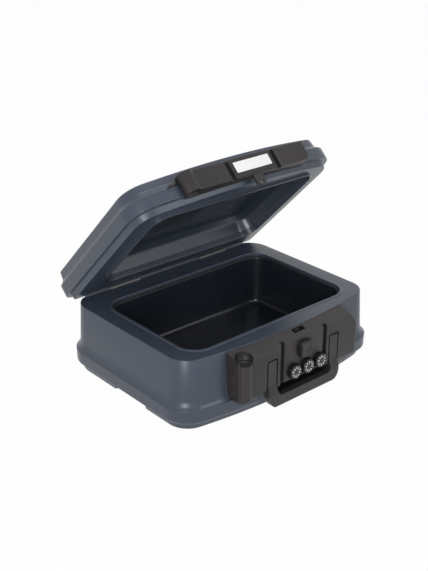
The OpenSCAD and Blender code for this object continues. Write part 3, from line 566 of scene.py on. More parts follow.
@dataclass(frozen=True)
class Finish:
    """One surface finish, made into a node material.

    Attributes:
        name: the material's name.
        color: linear base colour.
        roughness: mean roughness.
        metallic: 1 for bare metal.
        grain: repeats of the moulded grain for each metre.
        depth: strength of the grain's bump.
        tone: share by which the colour drifts over the surface.
        worn: colour of worn edges, and how much of it shows.
        dust: how much dust lies on faces that look up.
        specular: strength of the mirror-like share.
        edge: radius in millimetres to which shading rounds sharp edges.
    """

    name: str
    color: tuple[float, float, float]
    roughness: float
    metallic: float = 0.0
    grain: float = 1500.0
    depth: float = 0.12
    tone: float = 0.08
    worn: tuple[float, float, float] = (0.3, 0.3, 0.3)
    wear: float = 0.2
    dust: float = 0.03
    specular: float = 0.5
    edge: float = 0.6

    def build(self, groups: NodeGroups) -> bpy.types.Material:
        """The node material: grain, then edge wear, then dust, into one Principled shader."""
        material = bpy.data.materials.new(self.name)
        material.use_nodes = True
        tree = material.node_tree
        nodes, links = tree.nodes, tree.links
        nodes.clear()
        out = nodes.new("ShaderNodeOutputMaterial")
        shader = nodes.new("ShaderNodeBsdfPrincipled")
        grain, wear, dust = (nodes.new("ShaderNodeGroup") for _ in range(3))
        grain.node_tree, wear.node_tree, dust.node_tree = groups.grain, groups.wear, groups.dust
        grain.inputs["Color"].default_value = (*self.color, 1)
        grain.inputs["Scale"].default_value = self.grain
        grain.inputs["Tone"].default_value = self.tone
        grain.inputs["Roughness"].default_value = self.roughness
        wear.inputs["Worn"].default_value = (*self.worn, 1)
        wear.inputs["Amount"].default_value = self.wear
        dust.inputs["Amount"].default_value = self.dust
        links.new(grain.outputs["Color"], wear.inputs["Color"])
        links.new(wear.outputs["Color"], dust.inputs["Color"])
        links.new(grain.outputs["Roughness"], dust.inputs["Roughness"])
        round_edge = nodes.new("ShaderNodeBevel")
        round_edge.samples = 6
        round_edge.inputs["Radius"].default_value = self.edge * MM
        bump = nodes.new("ShaderNodeBump")
        links.new(round_edge.outputs["Normal"], bump.inputs["Normal"])
        bump.inputs["Strength"].default_value = self.depth
        bump.inputs["Distance"].default_value = 0.0002
        links.new(grain.outputs["Height"], bump.inputs["Height"])
        links.new(dust.outputs["Color"], shader.inputs["Base Color"])
        links.new(dust.outputs["Roughness"], shader.inputs["Roughness"])
        links.new(bump.outputs["Normal"], shader.inputs["Normal"])
        shader.inputs["Metallic"].default_value = self.metallic
        shader.inputs["Specular IOR Level"].default_value = self.specular
        links.new(shader.outputs["BSDF"], out.inputs["Surface"])
        return material


FINISHES: dict[Slot, Finish] = {
    Slot.SHELL: Finish("slate_moulding", (0.043, 0.055, 0.080), 0.33, grain=1400, depth=0.08, tone=0.10,
                       worn=(0.16, 0.18, 0.22), wear=0.30, specular=0.45, dust=0.015),
    Slot.BLACK: Finish("warm_black_moulding", (0.0165, 0.0138, 0.0142), 0.42, grain=1600, depth=0.10,
                       tone=0.16, worn=(0.08, 0.07, 0.07), wear=0.35, specular=0.36, dust=0.012),
    Slot.LINER: Finish("black_liner", (0.0105, 0.0135, 0.020), 0.27, grain=1200, depth=0.06, tone=0.2,
                       worn=(0.04, 0.045, 0.055), wear=0.2, dust=0.008),
    Slot.DIAL: Finish("dial_moulding", (0.010, 0.010, 0.011), 0.30, grain=2200, depth=0.06, tone=0.1,
                      worn=(0.05, 0.05, 0.05), wear=0.2, dust=0.0),
    Slot.FILLER: Finish("cast_filler", (0.60, 0.57, 0.50), 0.9, grain=600, depth=0.4, tone=0.2, wear=0.0),
    Slot.SEAL: Finish("seal_rubber", (0.012, 0.012, 0.013), 0.62, grain=900, depth=0.10, wear=0.1,
                      worn=(0.04, 0.04, 0.04), dust=0.02),
    Slot.HINGE: Finish("black_zinc", (0.022, 0.022, 0.024), 0.38, metallic=0.6, grain=900, depth=0.08,
                       worn=(0.3, 0.3, 0.3), wear=0.5),
    Slot.STEEL: Finish("zinc_plated_steel", (0.62, 0.63, 0.64), 0.30, metallic=1.0, grain=700, depth=0.06,
                       worn=(0.75, 0.75, 0.76), wear=0.3, dust=0.0),
    Slot.PLATE: Finish("printed_white", (0.93, 0.93, 0.92), 0.35, grain=500, depth=0.02, tone=0.02,
                       worn=(0.7, 0.7, 0.7), wear=0.1, dust=0.01),
}
# Painted shade: a near-black finish on the finger recess that stands in for its shade, since the recess is too shallow
# in the scene to fall dark by itself.
RECESS_PAINTED_SHADE = Finish("recess_painted_shade", (0.0025, 0.0025, 0.0025), 0.85, specular=0.05, tone=0.0, wear=0.0, dust=0.0)
LID_LINING = Finish("navy_lining", (0.032, 0.041, 0.060), 0.26, grain=1200, depth=0.06, tone=0.15, dust=0.008)


class Wardrobe:
    """Gives pieces their finish and their place on a body."""

    def __init__(self) -> None:
        """Builds every finish once."""
        groups = NodeGroups()
        self.materials = {slot: finish.build(groups) for slot, finish in FINISHES.items()}
        self.lid_lining = LID_LINING.build(groups)
        # near-black painted shade for the finger recess
        self.recess_shade_paint = RECESS_PAINTED_SHADE.build(groups)

    def dress(self, obj: bpy.types.Object, slot: Slot) -> bpy.types.Object:
        """Puts one finish on the whole piece."""
        obj.data.materials.clear()
        obj.data.materials.append(self.materials[slot])
        return obj

    def seat(self, obj: bpy.types.Object, body: Body, slot: Slot, *stands_for: str) -> bpy.types.Object:
        """Dresses a new piece, lets it ride, and hides the nodes it stands for.

        Args:
            obj: the new piece, in place.
            body: the body it moves with.
            slot: the finish it takes.
            stands_for: names of the frame's nodes that it replaces.
        """
        self.dress(obj, slot)
        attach(obj, body.value)
        if stands_for:
            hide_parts(*stands_for)
        LOG.info("piece %s rides on %s for %s", obj.name, body.value, stands_for)
        return obj


# ---------------------------------------------------------------- shells


@dataclass
class Hinge:
    """Line that the lid turns about, and how far it stands open."""

    y: float = HINGE_Y
    z: float = HINGE_Z
    open_degrees: float = 45.5

    def opened(self, obj: bpy.types.Object) -> bpy.types.Object:
        """Turns a piece drawn with the lid shut to where the lid stands open."""
        pivot = Matrix.Translation(Vector((0, self.y, self.z)) * MM)
        turn = Matrix.Rotation(-math.radians(self.open_degrees), 4, "X")
        return move_points(obj, pivot @ turn @ pivot.inverted())


@dataclass
class BaseShell:
    """The moulded lower half: outer shell with foot flange, rim and bead."""

    outline: BowedOutline = RIM
    mouth: BowedOutline = MOUTH
    rim_z: float = RIM_Z
    land_z: float = 114.2
    bead_z: float = 115.2
    bead_w: float = 5.5
    wall: float = 3.0
    skirt_z: float = 109.0

    def outer(self) -> Array:
        """Profile of the outside, from the underside to the land, as (offset, height)."""
        return fillet_path([
            (-14, 0.0, 0), (0.6, 0.0, 2.2), (2.4, 8.7, 5), (10.6, 16.0, 2.2), (11.0, 35.8, 1.1), (9.3, 36.9, 1.6),
            (6.4, 40.6, 6), (3.9, 47.0, 14), (3.0, 60.0, 20), (0.2, 113.0, 0), (-0.3, 113.9, 0.7),
            (-16, self.land_z, 0), (-17, self.land_z, 0)], steps=8)

    def inner(self) -> Array:
        """Profile of the room inside the walls."""
        return fillet_path([
            (-4.5, 3.0, 0), (-1.0, 10.7, 3), (7.0, 16.7, 2), (8.0, 33.7, 2), (2.6, 39.7, 3), (0.0, 45.7, 4),
            (-3.0, 110.8, 0)], steps=3)

    def cuts(self, grow: float) -> list[bpy.types.Object]:
        """Everything cut in from outside, with its walls grown by an amount."""
        g, reach = grow, FAR
        pocket = np.array([
            [-122.3, 35.7], [128.9, 35.7], [128.9, 90.8], [118.6, 103.8], [118.6, 105.8], [-122.3, 105.8]])
        cutters = [
            slab("cut", grow_outline(pocket, np.array([g]))[0], 146 - g, reach, place=facing_front),
            block("cut", (-66.3 - g, -reach, -10), (88.3 + g, -163 + 3.3 + g, 36)),
        ]
        for side in (-1, 1):
            gap = fillet_path([(-57 - g, -5, 0), (-53 - g, 6.5 + g, 2), (15 + g, 6.5 + g, 2), (36 + g, -5, 0)],
                              closed=True, steps=5)[::-1]
            low, high = sorted((side * (184 - g), side * reach))
            cutters.append(slab("cut", gap, low, high, place=side_on))
            x = side * HINGE_X
            cutters.append(block("cut", (x - KNUCKLE_HALF - g, 136.9 - g, 71.5 - g), (x + KNUCKLE_HALF + g, reach, 134)))
            cutters.append(block("cut", (x - 30.2 - g, 135.3 - g, 105.8 - g), (x + 30.2 + g, reach, 133.9)))
            knuckle = np.array([[6.0 + g, x - KNUCKLE_HALF - g], [6.0 + g, x + KNUCKLE_HALF + g]])
            cutters.append(lathe("cut", knuckle, (0, HINGE_Y, HINGE_Z), "x"))
        depth = 60
        rise = depth * math.tan(math.radians(NOTCH_DEGREES))
        shift = g / math.cos(math.radians(NOTCH_DEGREES))
        wedge = np.array([
            [HINGE_Y - g, HINGE_Z - shift], [HINGE_Y + depth - g, HINGE_Z - rise - shift],
            [HINGE_Y + depth, 190], [HINGE_Y - g, 190]])
        cutters.append(slab("cut", wedge, -reach, reach, place=side_on))
        return cutters

    def build(self) -> bpy.types.Object:
        """The shell as one closed mesh."""
        shell = loft("base_moulding", self.outline, self.outer())
        bead = loft("bead", self.mouth, fillet_path(
            [(self.bead_w, self.land_z - 2, 0), (self.bead_w, self.land_z, 0), (self.bead_w - 0.9, self.bead_z, 0.9),
             (0, self.bead_z, 0)], steps=4))
        combine(shell, [bead], "UNION")
        room = loft("room", self.outline, self.inner())
        combine(room, self.cuts(self.wall), "DIFFERENCE")
        ring = loft("ring", self.mouth, np.array([[3.0, self.skirt_z], [3.0, self.rim_z]]))
        combine(room, [ring], "DIFFERENCE")
        combine(shell, [room], "DIFFERENCE")
        hole = loft("hole", self.mouth, fillet_path(
            [(0, 60, 0), (0, self.bead_z - 0.8, 0.8), (0.8, self.bead_z + 0.05, 0), (3, self.bead_z + 4, 0)], steps=4))
        combine(shell, self.cuts(0.0) + [hole], "DIFFERENCE")
        edge_bead = bar("edge_bead", (-171.9, HINGE_Y, HINGE_Z), 1.48, 343.8, "x", 32)
        for side in (-1, 1):
            start = (side * HINGE_X - KNUCKLE_HALF, HINGE_Y, HINGE_Z)
            combine(edge_bead, [bar("cut", start, 6.0, 2 * KNUCKLE_HALF, "x")], "DIFFERENCE")
        combine(shell, [edge_bead], "UNION")
        return smooth(shell)


@dataclass
class LidShell:
    """The moulded upper half, drawn shut: land, lower wall, flange face, ledge and crown."""

    outline: BowedOutline = BowedOutline(192, 130.4, 142, 19.8, 33, 12)
    mouth: BowedOutline = MOUTH
    land_z: float = 115.5
    wall: float = 3.0

    def outer(self) -> Array:
        """Profile of the outside, from the land to the top, as (offset, height)."""
        z = self.land_z
        return fillet_path([
            (-16, z, 0), (-14, z, 0), (-0.2, z + 0.5, 0.9), (0.3, z + 2.0, 0.8), (2.5, z + 10.1, 0.8),
            (9.7, z + 10.0, 1.0), (10.0, z + 29.6, 1.3), (3.4, z + 36.4, 1.8), (2.6, z + 39.0, 2.2),
            (1.0, z + 51.6, 1.8), (-3.0, z + 52.5, 8), (-30, z + 52.5, 0)], steps=8)

    def inner(self) -> Array:
        """Profile of the room inside the walls."""
        z = self.land_z
        return np.array([(-3.2, z + 3), (-0.6, z + 13), (6.6, z + 13), (6.6, z + 28), (0.0, z + 35), (-2.6, z + 49.4)])

    def cuts(self, grow: float) -> list[bpy.types.Object]:
        """What is cut in from outside: the notch behind the hinge and the knuckles' room."""
        g = grow
        rise = 11.4 * math.tan(math.radians(NOTCH_DEGREES))
        shift = g / math.cos(math.radians(NOTCH_DEGREES))
        wedge = np.array([[HINGE_Y, 20], [145.0, 20], [145.0, HINGE_Z + rise + shift], [HINGE_Y, HINGE_Z + shift]])
        cutters = [slab("cut", wedge, -FAR, FAR, place=side_on)]
        for side in (-1, 1):
            start = (side * HINGE_X - KNUCKLE_HALF - g, HINGE_Y, HINGE_Z)
            cutters.append(bar("cut", start, 6.0 + g, 2 * (KNUCKLE_HALF + g), "x"))
        return cutters

    def form(self, grow: float) -> bpy.types.Object:
        """The lid's whole form grown by a gap, to cut what lies against it."""
        profile = self.outer() + np.array([grow, 0.0])
        low = profile[:, 1] < self.land_z + 12
        profile[:, 1] += np.where(low, -grow, grow)
        return loft("lid_form", self.outline, profile)

    def build(self, hinge: Hinge) -> bpy.types.Object:
        """The shell as one closed mesh, standing open."""
        shell = loft("lid_moulding", self.outline, self.outer())
        room = loft("room", self.outline, self.inner())
        combine(room, self.cuts(self.wall), "DIFFERENCE")
        combine(shell, [room], "DIFFERENCE")
        hole = loft("hole", self.mouth, np.array([[-0.9, 100.0], [-0.9, 123.5]]))
        combine(shell, self.cuts(0.0) + [hole], "DIFFERENCE")
        return hinge.opened(smooth(shell))


@dataclass
class Liner:
    """One finished liner, the body it rides on and the node it stands for."""

    obj: bpy.types.Object
    body: Body
    stands_for: str


class Liners:
    """The linings of the cavity and of the lid's hollow, with well-rounded corners."""

    mouth = replace(MOUTH, corner_steps=24)

    def build(self, hinge: Hinge) -> list[Liner]:
        """Both liners as closed meshes, the lid's standing open."""
        base_out = np.array([(-13.3, 21.0), (-7.3, 30.0), (-0.3, 106.1), (8.0, 106.1), (8.0, 108.7), (-0.3, 108.7)])
        base_in = fillet_path([(-26, 24.0, 0), (-10.9, 24.0, 9), (-3.3, 108.0, 1.2), (-1.6, 108.8, 0)], steps=10)
        base = loft("cavity_lining", self.mouth, base_out)
        combine(base, [loft("room", self.mouth, base_in)], "DIFFERENCE")
        lid_out = np.array([
            (-1.2, 111.3), (-1.3, 118.6), (6.0, 118.8), (6.0, 121.1), (-1.4, 121.4), (-6.0, 138.5), (-12.0, 147.5),
            (-22.0, 152.5)])
        lid_in = fillet_path([
            (-2.6, 111.0, 0), (-3.4, 112.2, 0.8), (-4.4, 121.5, 6), (-9.0, 140.0, 12), (-20.0, 149.5, 7),
            (-28.5, 149.5, 0)], steps=8)
        lid = loft("lid_lining", self.mouth, lid_out)
        combine(lid, [loft("room", self.mouth, lid_in)], "DIFFERENCE")
        return [Liner(smooth(base), Body.BASE, "base_inner_liner"),
                Liner(hinge.opened(smooth(lid)), Body.LID, "lid_inner_liner")]


# ---------------------------------------------------------------- front pieces


def dial_places() -> list[float]:
    """Middle of each dial across the box, from the left."""
    return [DIAL_X + i * DIAL_PITCH for i in (-1, 0, 1)]


@dataclass
class FrontHousing:
    """The black housing on the front: shelf, boss, handle channels and room for the lock."""

    lock_x: float = LOCK_X
    face: float = FACE
    back: float = 146.3

    def shelf(self) -> bpy.types.Object:
        """Space under the sloping shelf, which falls by a third of its depth."""
        low = RIM_Z - SHELF_REACH * SHELF_FALL
        return loft("shelf", RIM, np.array([[SHELF_REACH, -5.0], [SHELF_REACH, low], [0.0, RIM_Z]]))

    def outline(self) -> Array:
        """Front view, with its upper right corner slanted."""
        return fillet_path([(-122, 36, 3.0), (128.6, 36, 3.0), (128.6, 90.8, 3.0), (118.3, 103.8, 2.0),
                            (118.3, 113.8, 0), (-122, 113.8, 0)], closed=True, steps=6)

    def build(self) -> bpy.types.Object:
        """The housing as one closed mesh."""
        body = slab("housing_moulding", self.outline(), self.back, self.face, edge_high=1.4, place=facing_front)
        column = bar("column", (BOSS_X, BOSS_Y, 36.2), 12.5, 90, "z", 96)
        combine(body, [column], "UNION")
        apron = block("apron", (-47, -163, 8), (80, -160, 40))
        combine(body, [apron], "UNION")
        combine(body, [self.shelf()], "INTERSECT")
        wall = loft("wall", RIM, np.array([[1.0, 105.5], [1.0, 130.0]]))
        turn = np.linspace(0, 0.5 * np.pi, 9)
        dish = np.concatenate([
            np.stack([9.4 * np.sin(turn[1:]), 98 - 1.9 * np.cos(turn[1:])], -1), [[9.7, 98.3], [9.7, 130]]])
        room = np.array([[12.9, 98.0], [13.6, 99.0], [14.6, 107.0], [14.6, 130.0]])
        slope = np.array([(-205.0, 20.0), (-180.0, 20.0), (-180.0, 35.8), (-205.0, 48.3)])
        boss = (BOSS_X, BOSS_Y, 0)
        cuts = [wall, slab("foot_slope", slope, -124, -92, place=side_on),
                lathe("dish", dish, boss, "z", 96), lathe("above_boss", room, boss, "z", 96)]
        cuts.append(block("panel_room", (self.lock_x - 49.5, -FAR, 35), (self.lock_x + 49.5, -175, 119)))
        for side in (-1, 1):
            middle = self.lock_x + side * 66.0
            opening = fillet_path([(middle - 11, -1, 0), (middle + 11, -1, 0), (middle + 11, 87.2, 4.0),
                                   (middle - 11, 87.2, 4.0)], closed=True, steps=6)
            cuts.append(slab("channel", opening, 165, FAR, place=facing_front))
            cuts.append(bar("pin_hole", (middle - 15, PIN_Y, PIN_Z), 2.52, 30, "x"))
        combine(body, cuts, "DIFFERENCE")
        for low, high in ((-90.0, -69.0), (91.0, 125.6)):
            bay = block("bay", (low, -178, 39), (high, 0, 90 if high > 100 else 102.8))
            keep = [bar("keep", boss, 19.0, 200, "z")]
            keep += [bar("keep", (x, -146.3, z), 4.5, 40, "front") for x in (-80, 108.6) for z in (50, 92)]
            combine(bay, keep, "DIFFERENCE")
            combine(body, [bay], "DIFFERENCE")
        bay = block("lock_bay", (-27.4, -172, 39), (57.6, 0, 103))
        posts = [bar("keep", (x, -152, z), 4.0, 21, "front") for x in (-23.9, 54.1) for z in (42.4, 99.0)]
        combine(bay, posts, "DIFFERENCE")
        slot_room = block("slot_room", (-1, -171.2, 98), (23, -162.9, 119))
        nose_room = block("nose_room", (5.9, -165.6, 98), (16.1, -159.8, 110.8))
        holes = [bar("shaft", (x, -171, DIAL_Z), 3.06, 30, "front") for x in dial_places()]
        holes.append(bar("shaft", (self.lock_x, -171, BUTTON_Z), 4.06, 30, "front"))
        holes += [bar("thread", (x, -145, z), 1.76, 17, "front") for x in (-80, 108.6) for z in (49.9, 92)]
        holes += [bar("thread", (x, -151, z), 1.54, 13, "front") for x in (-23.9, 54.1) for z in (42.4, 99.0)]
        combine(body, [bay, slot_room, nose_room] + holes, "DIFFERENCE")
        return smooth(body)

    @staticmethod
    def paint_recess_shade(obj: bpy.types.Object, material: bpy.types.Material) -> None:
        """Paints shade into the finger recess behind the handle's bar: a near-black finish that stands in for its
        shade.
        """
        obj.data.materials.append(material)
        for face in obj.data.polygons:
            centre = face.center / MM
            # faces low in the recess behind the bar get the painted shade
            if centre.z < 39.6 and -66.5 < centre.x < 88.5 and centre.y > -180.5:
                face.material_index = 1

    def panel(self) -> bpy.types.Object:
        """The lock panel with its wells for the dials and its opening for the button."""
        outline = fillet_path([(PANEL_LEFT, 39, 0), (PANEL_RIGHT, 39, 0), (PANEL_RIGHT, RIM_Z, 0),
                               (PANEL_LEFT, RIM_Z, 0)], closed=True)
        panel = slab("lock_panel_moulding", outline, 175.05, self.face, edge_high=0.9, place=facing_front)
        cuts = []
        well = np.array([[12.5, 179.0], [12.5, 180.0], [13.3, 181.2]])
        for x in dial_places():
            cuts.append(lathe("well", well, (x, 0, DIAL_Z), "front", 80))
            cuts.append(bar("hole", (x, 0, DIAL_Z), 3.06, FAR, "front"))
        opening = rounded_rectangle(self.lock_x, BUTTON_Z, 23.6, 25.6, 5.3)
        cuts.append(slab("opening", opening, 100, FAR, place=facing_front))
        seat = rounded_rectangle(self.lock_x - 0.8, BUTTON_Z + 0.8, 28.0, 30.0, 7.0)
        cuts.append(slab("button_seat", seat, self.face - 1.1, FAR, place=facing_front))
        combine(panel, [self.shelf()], "INTERSECT")
        combine(panel, cuts, "DIFFERENCE")
        return smooth(panel)


@dataclass
class Handle:
    """The carry handle: one bar with two arms, its corners well rounded."""

    left: float = -63.6
    right: float = 85.6
    low: float = BAR_LOW
    top: float = 84.4
    arm: float = 17.2

    def build(self) -> bpy.types.Object:
        """The handle as one closed mesh, hanging down."""
        x0, x1, low, top, arm = self.left, self.right, self.low, self.top, self.arm
        outer = fillet_path([(x0, low, 20), (x1, low, 20), (x1, top, 2.5), (x0, top, 2.5)], closed=True, steps=14)
        body = slab("handle_moulding", outer, 160, 200, place=facing_front)
        inner = fillet_path([(x0 + arm, BAR_TOP, 9), (x1 - arm, BAR_TOP, 9), (x1 - arm, 200, 0), (x0 + arm, 200, 0)],
                            closed=True, steps=10)
        combine(body, [slab("inner", inner, 100, 300, place=facing_front)], "DIFFERENCE")
        side = fillet_path([
            (-FACE, top, 1.5), (-FACE, 42.3, 20), (-187, 29.3, 12), (-187, low, 4.6), (-176, low, 4.6),
            (-176, BAR_TOP, 5), (-170, BAR_TOP + 13, 14), (-170, top, 3.5)], closed=True, steps=7)
        combine(body, [slab("side", side, -200, 200, place=side_on)], "INTERSECT")
        combine(body, [bar("pin", (-300, PIN_Y, PIN_Z), 2.56, 600, "x")], "DIFFERENCE")
        return smooth(body)


@dataclass
class PushButton:
    """The rectangular push button with a dished front."""

    width: float = 23
    height: float = 25
    ball: float = 60
    dish: float = 188.0

    def build(self) -> bpy.types.Object:
        """The button with its stem as one closed mesh."""
        outline = rounded_rectangle(LOCK_X, BUTTON_Z, self.width, self.height, 5.0)
        body = slab("button_moulding", outline, 178.85, 188.95, edge_high=2.0, place=facing_front, steps=7)
        turn = np.linspace(0, math.radians(14), 7)
        ball = np.stack([self.ball * np.sin(turn[1:]), self.dish + self.ball * (1 - np.cos(turn[1:]))], -1)
        hollow = np.concatenate([ball, [[ball[-1, 0], 260.0]]])
        dish = lathe("dish", hollow, (LOCK_X, 0, BUTTON_Z), "front", 64)
        combine(body, [dish], "DIFFERENCE")
        combine(body, [bar("stem", (LOCK_X, -165.1, BUTTON_Z), 4.0, 14, "front")], "UNION")
        return smooth(body, 24)


@dataclass
class Dial:
    """A combination dial with a fluted rim and ten numbers round its face."""

    radius: float = 11.5
    flutes: int = 20
    digits: int = 10
    digit_size: float = 4.9
    digit_circle: float = 7.0

    def body(self, name: str, x: float) -> bpy.types.Object:
        """The dial as one closed mesh."""
        r = self.radius
        profile = fillet_path([
            (0.0, 0.0, 0), (r - 0.5, 0.0, 0), (r - 0.1, 0.5, 0.3), (r - 0.1, 8.3, 0.8), (r - 1.3, 9.6, 0.5),
            (r - 2.2, 9.6, 0.3), (r - 2.7, 9.1, 0.2), (3.6, 9.0, 0.2), (3.2, 9.5, 0.3), (0.01, 9.5, 0)], steps=4)
        dial = lathe(name, profile[1:], (x, -179.3, DIAL_Z), "front", 120)
        cuts = [bar("bore", (x, -178, DIAL_Z), 3.02, 8.2, "front")]
        for k in range(self.flutes):
            angle = math.radians(360 / self.flutes * k)
            middle = (x + (r + 0.5) * math.cos(angle), -178, DIAL_Z + (r + 0.5) * math.sin(angle))
            cuts.append(bar("flute", middle, 1.0, 14, "front", 16))
        combine(dial, cuts, "DIFFERENCE")
        return smooth(dial, 35)

    def numbers(self, name: str, x: float) -> bpy.types.Object:
        """The numbers 0 to 9 round the face, each upright on its own radius."""
        parts = []
        for digit in range(self.digits):
            curve = bpy.data.curves.new("digit", "FONT")
            curve.body = str(digit)
            curve.size = self.digit_size
            curve.extrude = 0.06
            curve.offset = 0.16
            curve.resolution_u = 3
            curve.align_x, curve.align_y = "CENTER", "CENTER"
            holder = bpy.data.objects.new("digit", curve)
            bpy.context.scene.collection.objects.link(holder)
            bpy.context.view_layer.update()
            mesh = bpy.data.meshes.new_from_object(holder.evaluated_get(bpy.context.evaluated_depsgraph_get()))
            bpy.data.objects.remove(holder)
            angle = math.radians(-360 / self.digits * digit)
            place = (Matrix.Translation(Vector((x, -188.42, DIAL_Z))) @ Matrix.Rotation(angle, 4, "Y").inverted()
                     @ Matrix.Translation(Vector((0, 0, self.digit_circle))) @ Matrix.Rotation(math.radians(90), 4, "X"))
            mesh.transform(Matrix.Scale(MM, 4) @ place)
            part = bpy.data.objects.new("digit", mesh)
            bpy.context.scene.collection.objects.link(part)
            parts.append(part)
        return join(name, parts)


@dataclass
class LidStrip:
    """The black strip on the lid's front: flat bar, round boss, wing, centre panel and plate."""

    lid: LidShell = field(default_factory=LidShell)
    face: float = 168.0
    low: float = 122.5
    top: float = 155.0

    def build(self, hinge: Hinge) -> bpy.types.Object:
        """The strip as one closed mesh, standing open."""
        outline = fillet_path([(-109, self.low, 0), (118, self.low, 1.5), (124, self.low + 8.5, 2.5),
                               (124, self.top, 2.0), (-109, self.top, 0)], closed=True, steps=6)
        strip = slab("strip_moulding", outline, 129.8, self.face, edge_high=0.9, place=facing_front)
        turn = np.linspace(0, 0.5 * np.pi, 8)
        rim = np.stack([14 - 1.0 * (1 - np.sin(turn)), self.low + 1.0 * (1 - np.cos(turn))], -1)
        crown = np.stack([14 - 0.8 * (1 - np.cos(turn)), self.top - 0.8 * (1 - np.sin(turn))], -1)
        boss = lathe("boss", np.concatenate([rim, crown]), (-109, -160, 0), "z", 96)
        combine(strip, [boss], "UNION")
        wing = fillet_path([(-109, 147, 0), (-124, 146.0, 10), (-140, 143.5, 0.6), (-140, 144.7, 0.6),
                            (-124, 153, 10), (-109, 155, 0)], closed=True, steps=6)
        wing_piece = slab("wing", wing, 100, 300, place=facing_front)
        shape = loft("shape", self.lid.outline, np.array([[13.0, 139.5], [13.0, 145.5], [7.3, 156.0]]))
        combine(wing_piece, [shape], "INTERSECT")
        combine(strip, [wing_piece], "UNION")
        dish = lathe("dish", np.stack([14 * np.sin(turn[1:]), 113.0 + 14 * np.cos(turn[1:])], -1)[::-1],
                     (-109, -160, 0), "z", 96)
        cuts = [self.lid.form(0.3), dish,
                block("panel_room", (PANEL_LEFT, -FAR, self.low + 0.8), (PANEL_RIGHT, -165, 200))]
        for side in (-1, 1):
            middle = LOCK_X + side * 45.5
            cuts.append(block("groove", (middle - 4, -FAR, 100), (middle + 4, -163.5, 200)))
        for low, high in ((-92.0, -41.5), (63.5, 115.0)):
            bay = block("bay", (low, -165, 127), (high, 0, 152))
            combine(bay, [bar("keep", (x, 0, 135.5), 4.0, 168, "front") for x in (-70, 90)], "DIFFERENCE")
            cuts.append(bay)
        cuts += [bar("thread", (x, 0, 135.5), 1.44, 162.4 if x < 0 else 160.6, "front") for x in (-70, 90)]
        combine(strip, cuts, "DIFFERENCE")
        return hinge.opened(smooth(strip))

    def panel(self, hinge: Hinge) -> bpy.types.Object:
        """The centre panel, a plate with softly rounded rims."""
        outline = fillet_path([(PANEL_LEFT, self.low + 1.0, 1.0), (PANEL_RIGHT, self.low + 1.0, 1.0),
                               (PANEL_RIGHT, self.top, 1.0), (PANEL_LEFT, self.top, 1.0)], closed=True, steps=4)
        return hinge.opened(smooth(slab("strip_panel", outline, 165.1, 168.4, edge_high=0.8, place=facing_front)))

    def plate(self, hinge: Hinge) -> bpy.types.Object:
        """The blank name plate."""
        outline = rounded_rectangle(LOCK_X, self.low + 17.25, 70, 17.5, 1.0)
        return hinge.opened(smooth(slab("name_plate_card", outline, 168.5, 169.4, edge_high=0.35, place=facing_front)))


# ---------------------------------------------------------------- studio


@dataclass(frozen=True)
class Camera:
    """The photograph's viewpoint, in metres."""

    position: tuple[float, float, float] = (-0.9842, -1.1188, 0.8204)
    target: tuple[float, float, float] = (-0.00754, 0.00680, 0.12858)
    focal_pixels: float = 1015.84
    long_side: float = 571.0
    sensor: float = 36.0

    def build(self) -> bpy.types.Object:
        """Creates the camera and makes it the scene's."""
        data = bpy.data.cameras.new("camera")
        data.sensor_fit = "VERTICAL"
        data.sensor_height = self.sensor
        data.lens = self.focal_pixels / self.long_side * self.sensor
        camera = bpy.data.objects.new("camera", data)
        bpy.context.scene.collection.objects.link(camera)
        camera.location = self.position
        aim = Vector(self.target) - Vector(self.position)
        camera.rotation_euler = aim.to_track_quat("-Z", "Y").to_euler()
        bpy.context.scene.camera = camera
        return camera


@dataclass(frozen=True)
class SoftLamp:
    """A rectangular lamp aimed at the box."""

    name: str
    position: tuple[float, float, float]
    size: tuple[float, float]
    watts: float
    target: tuple[float, float, float] = (0.0, 0.0, 0.12)

    def build(self) -> bpy.types.Object:
        """Creates the lamp."""
        data = bpy.data.lights.new(self.name, "AREA")
        data.shape = "RECTANGLE"
        data.size, data.size_y = self.size
        data.energy = self.watts
        lamp = bpy.data.objects.new(self.name, data)
        bpy.context.scene.collection.objects.link(lamp)
        lamp.location = self.position
        aim = Vector(self.target) - Vector(self.position)
        lamp.rotation_euler = aim.to_track_quat("-Z", "Y").to_euler()
        return lamp


